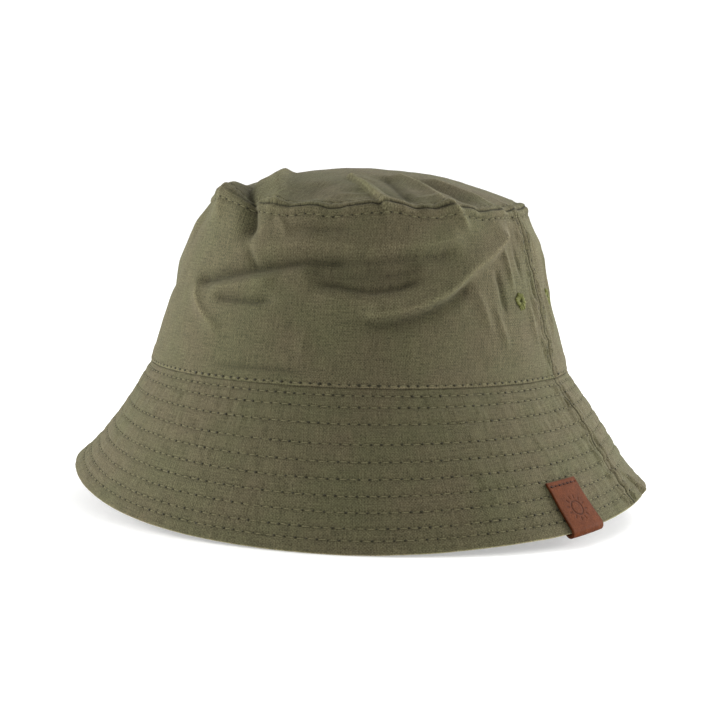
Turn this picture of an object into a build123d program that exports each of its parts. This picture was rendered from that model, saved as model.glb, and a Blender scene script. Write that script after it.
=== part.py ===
from build123d import *
import os
from math import asin, cos, degrees, radians, sin

# A cotton bucket hat. Millimetres, +Z up, -Y to the wearer's front, +X to the wearer's left.
# The origin is the centre of the head opening, level with the seam that joins crown and brim.
# The crown is a tapering oval wall under a domed tip. The brim is a flaring oval cone whose
# edge is a saddle: it dips at front and back and lifts at the sides.

os.makedirs("parts", exist_ok=True)

# Crown: half-widths of the outer oval at its two seams.
BASE_X, BASE_Y = 93.0, 97.5
TOP_X, TOP_Y = 73.0, 77.0
CROWN_HEIGHT = 74.5
DOME_HEIGHT = 13.5

# Brim: half-widths of the cone at BRIM_DROP below the seam, and the height of its edge
# in the middle and at EDGE_SPAN to the wearer's right and left.
HEM_X, HEM_Y = 137.5, 128.0
BRIM_DROP = 62.0
EDGE_SPAN = 140.0
EDGE_MIDDLE, EDGE_RIGHT, EDGE_LEFT = -61.5, -43.5, -51.5

# Cloth thicknesses, measured level, and the air between one ply and the next.
FABRIC = 0.5
INTERLINING = 0.6
SWEATBAND = 0.7
AIR = 0.15
SEAM_GAP = 0.2
TURNED_EDGE = 0.6

# How deep each ply lies under the crown's outer surface.
ALLOWANCE_INSET = FABRIC + AIR
INTERLINING_INSET = ALLOWANCE_INSET + FABRIC + AIR
UNDER_INSET = INTERLINING_INSET + INTERLINING + AIR
SWEATBAND_INSET = UNDER_INSET + FABRIC + AIR
BINDING_INSET = ALLOWANCE_INSET + FABRIC + AIR

# Heights and widths of the sewn-in strips.
ALLOWANCE_HEIGHT = 8.0
SWEATBAND_HEIGHT = 24.0
SIDE_TAPE_WIDTH = 12.0

# Thread: a stitched row lies on the cloth as a narrow rib.
THREAD_WIDTH = 0.6
THREAD_HEIGHT = 0.3
THREAD_LIFT = 0.05
TIP_ROW_OFFSET = 4.0
BASE_ROW_OFFSET = 1.2
SIDE_ROW_OFFSET = 3.0
BRIM_ROW_DISTANCES = [2.6, 7.3, 14.1, 22.2, 29.2, 36.0, 42.6, 49.0, 55.2, 59.9]
BRIM_WIDTH = 66.0

# Embroidered eyelets, one each side of each side seam.
EYELET_HEIGHT = 34.0
EYELET_OFFSET = 16.0
EYELET_RADIUS = 3.6
EYELET_BACK_RADIUS = 3.0
EYELET_HOLE = 1.2
EYELET_BARREL = 1.9
EYELET_THREAD = 0.5
EYELET_LIFT = 0.1
EYELET_GRIP = 0.75
EYELET_ROUNDING = 0.22

# The leather tab folded over the brim's edge.
TAB_ANGLE = -21.0
TAB_WIDTH = 19.0
TAB_LEATHER = 1.2
TAB_CLEARANCE = 0.45
TAB_TOP_SHARE = 0.67
TAB_INSET = ALLOWANCE_INSET - TAB_CLEARANCE - TAB_LEATHER
TAB_STITCHES = 6
TAB_STITCH_PITCH = 2.6
TAB_STITCH_LENGTH = 1.8
TAB_STITCH_MARGIN = 2.0

# The care label that hangs inside, from the tip seam at the back.
LABEL_WIDTH = 20.0
LABEL_LENGTH = 34.0
LABEL_THICKNESS = 0.4
LABEL_BEAD = 0.5
LABEL_HINGE_Y = 75.9
LABEL_HINGE_Z = 67.0

# The dome is turned as a circle of this radius, then stretched to the oval.
DOME_RIM = (TOP_X + TOP_Y) / 2
DOME_STRETCH = (TOP_X / DOME_RIM, TOP_Y / DOME_RIM, 1)

# Longer than the hat, for blocks that cut it.
FAR = 200.0

# Names of the halves and sides, with their signs along Y and X.
HALVES = (("front", -1), ("back", 1))
SIDES = (("left", 1), ("right", -1))


def crown_oval(height, inset):
    """The level oval at a height on the crown, this far inside its outer surface."""
    share = height / CROWN_HEIGHT
    return (
        height,
        BASE_X + (TOP_X - BASE_X) * share - inset,
        BASE_Y + (TOP_Y - BASE_Y) * share - inset,
    )


def brim_oval(height, inset):
    """The level oval at a height on the brim's cone, this far inside its upper surface."""
    share = -height / BRIM_DROP
    return (
        height,
        BASE_X + (HEM_X - BASE_X) * share - inset,
        BASE_Y + (HEM_Y - BASE_Y) * share - inset,
    )


def loft_ovals(low, high, mode=Mode.ADD):
    """A straight-sided solid between two level ovals, each (height, half-width, half-depth)."""
    sections = []
    for height, half_x, half_y in (low, high):
        with BuildSketch(Plane.XY.offset(height)) as section:
            Ellipse(half_x, half_y)
        sections.append(section.sketch)
    loft(sections, ruled=True, mode=mode)


def crown_ply(low, high, inset, thickness):
    """A thin wall that follows the crown between two heights."""
    loft_ovals(crown_oval(low, inset), crown_oval(high, inset))
    loft_ovals(
        crown_oval(low - 1, inset + thickness),
        crown_oval(high + 1, inset + thickness),
        Mode.SUBTRACT,
    )


def brim_ply(inset, thickness):
    """A thin cone that follows the brim, from the seam to below its edge."""
    bottom = -BRIM_DROP - ALLOWANCE_HEIGHT
    loft_ovals(brim_oval(bottom, inset), brim_oval(0, inset))
    loft_ovals(
        brim_oval(bottom, inset + thickness),
        brim_oval(0, inset + thickness),
        Mode.SUBTRACT,
    )


def saddle_line(share, drop=0.0):
    """The brim's edge line, scaled to a share of its depth, seen from the front."""
    heights = [share * height - drop for height in (EDGE_RIGHT, EDGE_MIDDLE, EDGE_LEFT)]
    ends = list(zip((-EDGE_SPAN, 0.0, EDGE_SPAN), heights))
    if share == 0:
        return Line(ends[0], ends[2])
    return ThreePointArc(*ends)


def keep_band(upper, lower):
    """Keeps what lies between two saddle lines, each (share, drop)."""
    with BuildSketch(Plane.XZ) as band:
        with BuildLine():
            top = saddle_line(*upper)
            bottom = saddle_line(*lower)
            Line(top @ 0, bottom @ 0)
            Line(top @ 1, bottom @ 1)
        make_face()
    extrude(band.sketch, amount=FAR, both=True, mode=Mode.INTERSECT)


def keep_half(side):
    """Keeps the front half (side -1) or the back half (side 1), clear of the side seams."""
    with Locations((0, side * (FAR + SEAM_GAP / 2), 0)):
        Box(2 * FAR, 2 * FAR, 2 * FAR, mode=Mode.INTERSECT)


def keep_strip(side, width):
    """Keeps a strip along one side seam: side 1 is the wearer's left."""
    with Locations((side * FAR, 0, 0)):
        Box(2 * FAR, width, 2 * FAR, mode=Mode.INTERSECT)


def surface_plane(low, high, angle, share, lift):
    """A plane on the wall between two ovals: z outwards, x along the wall, y up the wall."""
    turn = radians(angle)
    ends = [Vector(x * cos(turn), y * sin(turn), z) for z, x, y in (low, high)]
    _, half_x, half_y = low
    along = Vector(-half_x * sin(turn), half_y * cos(turn), 0).normalized()
    up = (ends[1] - ends[0]).normalized()
    outward = along.cross(up)
    point = ends[0] + (ends[1] - ends[0]) * share + outward * lift
    return Plane(origin=point, x_dir=along, z_dir=outward)


def eyelet_plane(side, end):
    """On the crown beside a side seam: side 1 is the wearer's left, end -1 the front."""
    away = degrees(asin(EYELET_OFFSET / crown_oval(EYELET_HEIGHT, 0)[1]))
    angle = end * away if side > 0 else 180 - end * away
    share = EYELET_HEIGHT / CROWN_HEIGHT
    return surface_plane(crown_oval(0, 0), crown_oval(CROWN_HEIGHT, 0), angle, share, 0)


def tab_plane(share, lift):
    """On the brim's upper surface at the leather tab, this share of the way down."""
    low = brim_oval(EDGE_MIDDLE, 0)
    return surface_plane(low, brim_oval(0, 0), TAB_ANGLE, 1 - share, lift)


def write(piece, name):
    """Labels a finished piece and writes its STEP file."""
    piece.part.label = name
    export_step(piece.part, f"parts/{name}.step")


def crown_sides():
    """The crown wall: two panels that meet at the side seams, with two eyelet holes each."""
    for name, end in HALVES:
        with BuildPart() as panel:
            crown_ply(AIR, CROWN_HEIGHT, 0, FABRIC)
            keep_half(end)
            for _, side in SIDES:
                with Locations(eyelet_plane(side, end)):
                    Cylinder(EYELET_BARREL + AIR, 8 * FABRIC, mode=Mode.SUBTRACT)
        write(panel, f"crown_side_{name}")


def dome_arc(rim_inset, top_inset):
    """The dome's line above the crown's top seam, before it is stretched into an oval."""
    foot = CROWN_HEIGHT + AIR
    reach = DOME_RIM - rim_inset
    return ThreePointArc(
        (-reach, foot), (0, foot + DOME_HEIGHT - top_inset), (reach, foot)
    )


def crown_tip():
    """The domed oval on top, with its seam allowance turned down inside the wall."""
    foot = CROWN_HEIGHT + AIR
    with BuildPart() as allowance:
        crown_ply(CROWN_HEIGHT - ALLOWANCE_HEIGHT, foot + AIR, ALLOWANCE_INSET, FABRIC)
    with BuildPart() as tip:
        with BuildSketch(Plane.XZ):
            with BuildLine():
                outer = dome_arc(0, 0)
                inner = dome_arc(ALLOWANCE_INSET + FABRIC, FABRIC)
                Line(outer @ 0, inner @ 0)
                Line(outer @ 1, inner @ 1)
            make_face()
            with Locations((-DOME_RIM, foot)):
                Rectangle(2 * DOME_RIM, 4 * DOME_HEIGHT, mode=Mode.SUBTRACT)
        revolve(axis=Axis.Z)
        scale(by=DOME_STRETCH)
        add(allowance.part)
    write(tip, "crown_tip")


def brim_tops():
    """The brim's upper ply: its edge is turned under, its allowance goes up into the crown."""
    for name, end in HALVES:
        with BuildPart() as slope:
            brim_ply(ALLOWANCE_INSET, FABRIC)
            keep_band((0, 0), (1, 0))
        with BuildPart() as allowance:
            crown_ply(0, ALLOWANCE_HEIGHT, ALLOWANCE_INSET, FABRIC)
        with BuildPart() as panel:
            brim_ply(ALLOWANCE_INSET, UNDER_INSET + FABRIC - ALLOWANCE_INSET)
            keep_band((1, -TURNED_EDGE), (1, 0))
            add(slope.part)
            add(allowance.part)
            keep_half(end)
        write(panel, f"brim_top_{name}")


def brim_unders():
    """The brim's lower ply, which stops just inside the turned edge."""
    for name, end in HALVES:
        with BuildPart() as allowance:
            crown_ply(0, ALLOWANCE_HEIGHT, UNDER_INSET, FABRIC)
        with BuildPart() as panel:
            brim_ply(UNDER_INSET, FABRIC)
            keep_band((0, 0), (1, -TURNED_EDGE - AIR))
            add(allowance.part)
            keep_half(end)
        write(panel, f"brim_under_{name}")


def brim_interlinings():
    """The stiffening sheet quilted in between the brim's two plies."""
    for name, end in HALVES:
        with BuildPart() as sheet:
            brim_ply(INTERLINING_INSET, INTERLINING)
            keep_band((0, 2 * AIR), (1, -TURNED_EDGE - AIR))
            keep_half(end)
        write(sheet, f"brim_interlining_{name}")


def sweatband():
    """The band round the head opening, sewn in with the crown and brim seam."""
    with BuildPart() as band:
        crown_ply(2 * AIR, SWEATBAND_HEIGHT, SWEATBAND_INSET, SWEATBAND)
    write(band, "sweatband")


def seam_tapes():
    """Tape over the raw edges inside: one round the tip seam, one up each side seam."""
    with BuildPart() as binding:
        crown_ply(
            CROWN_HEIGHT - ALLOWANCE_HEIGHT - AIR,
            CROWN_HEIGHT - AIR,
            BINDING_INSET,
            FABRIC,
        )
    write(binding, "tip_seam_tape")
    for name, side in SIDES:
        with BuildPart() as tape:
            crown_ply(
                ALLOWANCE_HEIGHT + 2 * AIR,
                CROWN_HEIGHT - ALLOWANCE_HEIGHT - 2 * AIR,
                ALLOWANCE_INSET,
                FABRIC,
            )
            keep_strip(side, SIDE_TAPE_WIDTH)
        write(tape, f"side_seam_tape_{name}")


def eyelets():
    """Four embroidered eyelets: a ring of thread outside and inside, joined by a barrel."""
    upward = (Align.CENTER, Align.CENTER, Align.MIN)
    for side_name, side in SIDES:
        for end_name, end in HALVES:
            with BuildPart(eyelet_plane(side, end)) as eyelet:
                with Locations((0, 0, EYELET_LIFT)):
                    Cylinder(EYELET_RADIUS, EYELET_THREAD, align=upward)
                rim = eyelet.edges().filter_by(GeomType.CIRCLE)
                fillet(rim, EYELET_ROUNDING)
                with Locations((0, 0, -EYELET_GRIP)):
                    Cylinder(EYELET_BARREL, EYELET_GRIP + 2 * EYELET_LIFT, align=upward)
                with Locations((0, 0, -EYELET_GRIP - EYELET_THREAD)):
                    Cylinder(EYELET_BACK_RADIUS, EYELET_THREAD, align=upward)
                Cylinder(EYELET_HOLE, EYELET_RADIUS, mode=Mode.SUBTRACT)
            write(eyelet, f"eyelet_{side_name}_{end_name}")


def tip_topstitching():
    """One row of thread each side of the tip seam: on the dome and on the wall."""
    foot = CROWN_HEIGHT + AIR
    radius = (DOME_RIM**2 + DOME_HEIGHT**2) / (2 * DOME_HEIGHT)
    reach = DOME_RIM - TIP_ROW_OFFSET
    lean = degrees(asin(reach / radius))
    centre = foot + DOME_HEIGHT - radius
    lift = radius + THREAD_LIFT + THREAD_HEIGHT / 2
    with BuildPart() as upper:
        with BuildSketch(Plane.XZ):
            with Locations((lift * sin(radians(lean)), centre + lift * cos(radians(lean)))):
                Rectangle(THREAD_WIDTH, THREAD_HEIGHT, rotation=-lean)
        revolve(axis=Axis.Z)
        scale(by=DOME_STRETCH)
    write(upper, "tip_topstitch_upper")
    with BuildPart() as lower:
        wall_thread(CROWN_HEIGHT - TIP_ROW_OFFSET)
    write(lower, "tip_topstitch_lower")


def wall_thread(height):
    """A level rib of thread on the crown's wall."""
    crown_ply(
        height - THREAD_WIDTH / 2,
        height + THREAD_WIDTH / 2,
        -THREAD_LIFT - THREAD_HEIGHT,
        THREAD_HEIGHT,
    )


def crown_topstitching():
    """The row above the brim seam, and a row each side of each side seam."""
    with BuildPart() as base:
        wall_thread(BASE_ROW_OFFSET)
    write(base, "crown_base_topstitch")
    for name, side in SIDES:
        with BuildPart() as rows:
            with Locations(
                (side * FAR, -SIDE_ROW_OFFSET, 0), (side * FAR, SIDE_ROW_OFFSET, 0)
            ):
                Box(2 * FAR, THREAD_WIDTH, 2 * FAR)
        with BuildPart() as threads:
            crown_ply(
                2 * BASE_ROW_OFFSET,
                CROWN_HEIGHT - TIP_ROW_OFFSET - THREAD_WIDTH,
                -THREAD_LIFT - THREAD_HEIGHT,
                THREAD_HEIGHT,
            )
            add(rows.part, mode=Mode.INTERSECT)
        write(threads, f"side_seam_topstitch_{name}")


def brim_stitching():
    """The rows of stitching round the brim, each a saddle line like the edge itself."""
    half_width = THREAD_WIDTH / 2
    for number, distance in enumerate(BRIM_ROW_DISTANCES, start=1):
        share = distance / BRIM_WIDTH
        with BuildPart() as row:
            brim_ply(ALLOWANCE_INSET - THREAD_LIFT - THREAD_HEIGHT, THREAD_HEIGHT)
            keep_band((share, -half_width), (share, half_width))
        write(row, f"brim_stitch_row_{number:02d}")


def leather_tab():
    """The leather tab: one strip folded over the brim's edge, and the stitches across it."""
    depth = UNDER_INSET + FABRIC + TAB_CLEARANCE + TAB_LEATHER - TAB_INSET
    with BuildPart() as slot:
        brim_ply(TAB_INSET + TAB_LEATHER, depth - 2 * TAB_LEATHER)
        keep_band((0, 0), (1, TAB_CLEARANCE))
    with BuildPart() as tab:
        brim_ply(TAB_INSET, depth)
        keep_band((TAB_TOP_SHARE, 0), (1, TAB_CLEARANCE + TAB_LEATHER))
        add(slot.part, mode=Mode.SUBTRACT)
        with Locations(tab_plane(1, 0)):
            Box(TAB_WIDTH, BRIM_WIDTH, BRIM_WIDTH / 2, mode=Mode.INTERSECT)
    write(tab, "leather_tab")
    row_share = TAB_TOP_SHARE + TAB_STITCH_MARGIN / BRIM_WIDTH
    with BuildPart(tab_plane(row_share, THREAD_LIFT - TAB_INSET)) as stitches:
        with GridLocations(TAB_STITCH_PITCH, 0, TAB_STITCHES, 1):
            Box(
                TAB_STITCH_LENGTH,
                THREAD_WIDTH,
                THREAD_HEIGHT,
                align=(Align.CENTER, Align.CENTER, Align.MIN),
            )
    write(stitches, "leather_tab_stitches")


def care_label():
    """The blank label that hangs from the tip seam's tape at the back, on its stitched fold."""
    with BuildPart() as label:
        with BuildSketch(Plane.YZ.offset(-LABEL_WIDTH / 2)):
            with Locations((LABEL_HINGE_Y, LABEL_HINGE_Z)):
                Circle(LABEL_BEAD)
            with Locations((LABEL_HINGE_Y, LABEL_HINGE_Z - LABEL_LENGTH / 2)):
                Rectangle(LABEL_THICKNESS, LABEL_LENGTH)
        extrude(amount=LABEL_WIDTH)
    write(label, "care_label")


crown_sides()
crown_tip()
brim_tops()
brim_unders()
brim_interlinings()
sweatband()
seam_tapes()
eyelets()
tip_topstitching()
crown_topstitching()
brim_stitching()
leather_tab()
care_label()
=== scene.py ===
from math import atan2, cos, hypot, pi, radians, sin, sqrt, tau

import bpy
import numpy as np
from mathutils import Matrix, Vector


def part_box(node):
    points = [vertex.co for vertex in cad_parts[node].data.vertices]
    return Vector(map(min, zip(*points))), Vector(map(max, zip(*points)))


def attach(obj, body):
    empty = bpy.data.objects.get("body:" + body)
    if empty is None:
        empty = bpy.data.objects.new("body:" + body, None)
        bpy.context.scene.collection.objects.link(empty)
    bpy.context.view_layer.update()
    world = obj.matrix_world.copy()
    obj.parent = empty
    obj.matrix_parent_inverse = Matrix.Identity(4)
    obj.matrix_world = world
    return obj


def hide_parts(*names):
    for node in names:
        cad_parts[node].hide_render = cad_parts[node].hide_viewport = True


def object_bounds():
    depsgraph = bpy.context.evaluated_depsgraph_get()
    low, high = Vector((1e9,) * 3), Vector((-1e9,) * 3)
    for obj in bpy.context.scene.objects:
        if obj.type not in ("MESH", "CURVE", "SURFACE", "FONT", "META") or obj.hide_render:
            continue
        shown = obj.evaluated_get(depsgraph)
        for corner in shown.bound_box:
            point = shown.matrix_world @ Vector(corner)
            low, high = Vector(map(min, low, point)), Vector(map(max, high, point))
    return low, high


# A cotton bucket hat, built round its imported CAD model. Sizes here are in millimetres, with
# the CAD's own axes: +Z up, -Y to the wearer's front, +X to the wearer's left. Angles run
# round the hat from the wearer's left, so the front is at -90 degrees.

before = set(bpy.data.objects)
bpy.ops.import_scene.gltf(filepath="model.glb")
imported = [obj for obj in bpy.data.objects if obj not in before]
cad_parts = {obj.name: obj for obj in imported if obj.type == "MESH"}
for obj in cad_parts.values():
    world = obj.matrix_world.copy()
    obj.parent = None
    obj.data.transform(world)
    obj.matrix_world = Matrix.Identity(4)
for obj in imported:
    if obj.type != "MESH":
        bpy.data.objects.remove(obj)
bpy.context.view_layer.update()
MM = 0.001
HAT = "hat"
FLAP = "care_label_flap"


# ---------------------------------------------------------------- sizes read from the frame

def node_points(*names):
    """The vertices of CAD nodes, in millimetres."""
    found = []
    for name in names:
        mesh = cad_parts[name].data
        places = np.empty(len(mesh.vertices) * 3, np.float32)
        mesh.vertices.foreach_get("co", places)
        found.append(places.reshape(-1, 3) / MM)
    return np.concatenate(found)


def middle(name):
    """The centre of a CAD node's box, in millimetres."""
    low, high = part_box(name)
    return (low + high) / 2 / MM


wall_points = node_points("crown_side_front", "crown_side_back")
brim_points = node_points("brim_top_front", "brim_top_back")
CROWN_HEIGHT = float(wall_points[:, 2].max())
BASE_X, BASE_Y = abs(wall_points[wall_points[:, 2] < 1, :2]).max(0)
TOP_X, TOP_Y = abs(wall_points[wall_points[:, 2] > CROWN_HEIGHT - 1, :2]).max(0)
DOME_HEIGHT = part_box("crown_tip")[1].z / MM - CROWN_HEIGHT
edge_left = brim_points[brim_points[:, 0].argmax()]
edge_right = brim_points[brim_points[:, 0].argmin()]
edge_front = brim_points[brim_points[:, 1].argmin()]
FLARE_X = (edge_left[0] - BASE_X) / -edge_left[2]
FLARE_Y = (-edge_front[1] - BASE_Y) / -edge_front[2]
DOME_REACH = (TOP_X + TOP_Y) / 2
WALL_SPREAD = ((BASE_X + BASE_Y) - (TOP_X + TOP_Y)) / 2 / CROWN_HEIGHT
BASE_ROW = middle("crown_base_topstitch").z
ROW_NUMBERS = range(1, 11)
ROW_SHARES = [
    float((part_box(f"brim_stitch_row_{n:02d}")[0].z / MM) / edge_front[2])
    for n in ROW_NUMBERS
]

# ---------------------------------------------------------------- sizes of cloth and thread

BRIM_WIDTH = 66.0
BRIM_THICKNESS = 1.8
RIM_RADIUS = 0.9
CLOTH = 0.5
STITCH_PITCH = 4.15
THREAD_RADIUS = 0.21
TIP_ROW = 4.0
SIDE_ROW = 3.0
# the radii at which the brim, its edge and the inner bands are laid out flat
BRIM_RADIUS = 112.0
EDGE_RADIUS = 122.0
BAND_RADIUS = 90.0


# ---------------------------------------------------------------- curves, noise and folds

def smooth(x):
    """Eases from 0 to 1 as x goes from 0 to 1."""
    x = np.clip(x, 0, 1)
    return x * x * (3 - 2 * x)


def bell(x, width):
    """A soft bump, 1 at nought and gone by about two widths."""
    return np.exp(-((x / width) ** 2))


def unit(vectors):
    """The same directions, one long."""
    return vectors / np.linalg.norm(vectors, axis=-1, keepdims=True)


def full_turn(count):
    """Even angles all the way round, count of them."""
    return tau * np.arange(count) / count


def angle_gap(phi, centre):
    """The signed angle from centre to phi, between minus pi and pi."""
    return (phi - centre + pi) % tau - pi


def side_gap(phi, radius):
    """How far a place is from the nearer side seam, in millimetres."""
    return np.minimum(abs(angle_gap(phi, 0)), abs(angle_gap(phi, pi))) * radius


def row_bells(t, width):
    """A soft bump over each of the brim's rows of stitching, t mm from the crown."""
    return sum(bell(t - row * BRIM_WIDTH, width) for row in ROW_SHARES)


def round_curve(pairs, soften=5):
    """A smooth closed curve through (degrees, value) pairs, as a function of the angle."""
    angles, values = zip(*sorted((a % 360, v) for a, v in pairs))
    ring = np.interp(np.arange(360), angles, values, period=360)
    half = 3 * soften
    kernel = np.exp(-0.5 * (np.arange(-half, half + 1) / soften) ** 2)
    padded = np.concatenate([ring[-half:], ring, ring[:half]])
    ring = np.convolve(padded, kernel / kernel.sum(), "valid")
    ring = np.append(ring, ring[0])
    return lambda phi: np.interp(np.degrees(phi) % 360, np.arange(361), ring)


def noise(u, v, cell_u, cell_v, seed, loop=None):
    """Smooth random bumps from -1 to 1. loop closes u round that length."""
    count = max(3, round(loop / cell_u)) if loop else 256
    cell_u = loop / count if loop else cell_u
    table = np.random.default_rng(seed).uniform(-1, 1, (count, 256))
    x, y = u / cell_u, v / cell_v
    i, j = np.floor(x).astype(int), np.floor(y).astype(int)
    fx, fy = smooth(x - i), smooth(y - j)
    i0, i1, j0, j1 = i % count, (i + 1) % count, j % 256, (j + 1) % 256
    low = table[i0, j0] * (1 - fx) + table[i1, j0] * fx
    high = table[i0, j1] * (1 - fx) + table[i1, j1] * fx
    return low * (1 - fy) + high * fy


def reach(q):
    """The crown's mean radius q mm inwards from the tip seam, or down the wall below nought."""
    return np.where(q > 0, DOME_REACH - q, DOME_REACH - WALL_SPREAD * q)


# how a fold fades: the length over which its ends die out, the power of its flanks, and
# the half width of the lighter line on a ridge (worn paler, and painted highlight) or the
# darker line in a crease (painted shade)
FOLD_ENDS, FOLD_POWER, RIDGE_LINE, CREASE_LINE = 9, 1.6, 0.75, 1.2


def fold(phi, q, path, height, above, below, line):
    """A soft ridge, or a crease where height is below nought, along a path of
    (degrees, q) points. above and below are its widths on its two sides, and line is how
    much lighter its crest is, worn paler and with painted highlight, or below nought how much
    darker a crease's painted shade is. Gives the relief and that painted tone."""
    centre = radians(sum(a for a, _ in path) / len(path))
    x = angle_gap(phi, centre) * reach(q)
    ends = [
        np.array([angle_gap(radians(a), centre) * float(reach(np.array(p))), p])
        for a, p in path
    ]
    lengths = [hypot(*(b - a)) for a, b in zip(ends, ends[1:])]
    total, before = sum(lengths), 0.0
    best = np.full(np.shape(x), 1e9)
    side = np.ones(np.shape(x))
    along = np.zeros(np.shape(x))
    for a, b, length in zip(ends, ends[1:], lengths):
        step = (b - a) / length
        t = np.clip((x - a[0]) * step[0] + (q - a[1]) * step[1], 0, length)
        dx, dy = x - a[0] - t * step[0], q - a[1] - t * step[1]
        distance = np.hypot(dx, dy)
        nearer = distance < best
        best = np.where(nearer, distance, best)
        side = np.where(nearer, step[0] * dy - step[1] * dx, side)
        along = np.where(nearer, (before + t) / total, along)
        before += length
    ease = min(0.45, FOLD_ENDS / total)
    taper = smooth(along / ease) * smooth((1 - along) / ease)
    width = np.where(side * np.sign(ends[-1][0] - ends[0][0] + 1e-6) > 0, above, below)
    relief = height * taper * np.exp(-((best / width) ** FOLD_POWER))
    return relief, line * taper * bell(best, RIDGE_LINE if line > 0 else CREASE_LINE)
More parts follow.
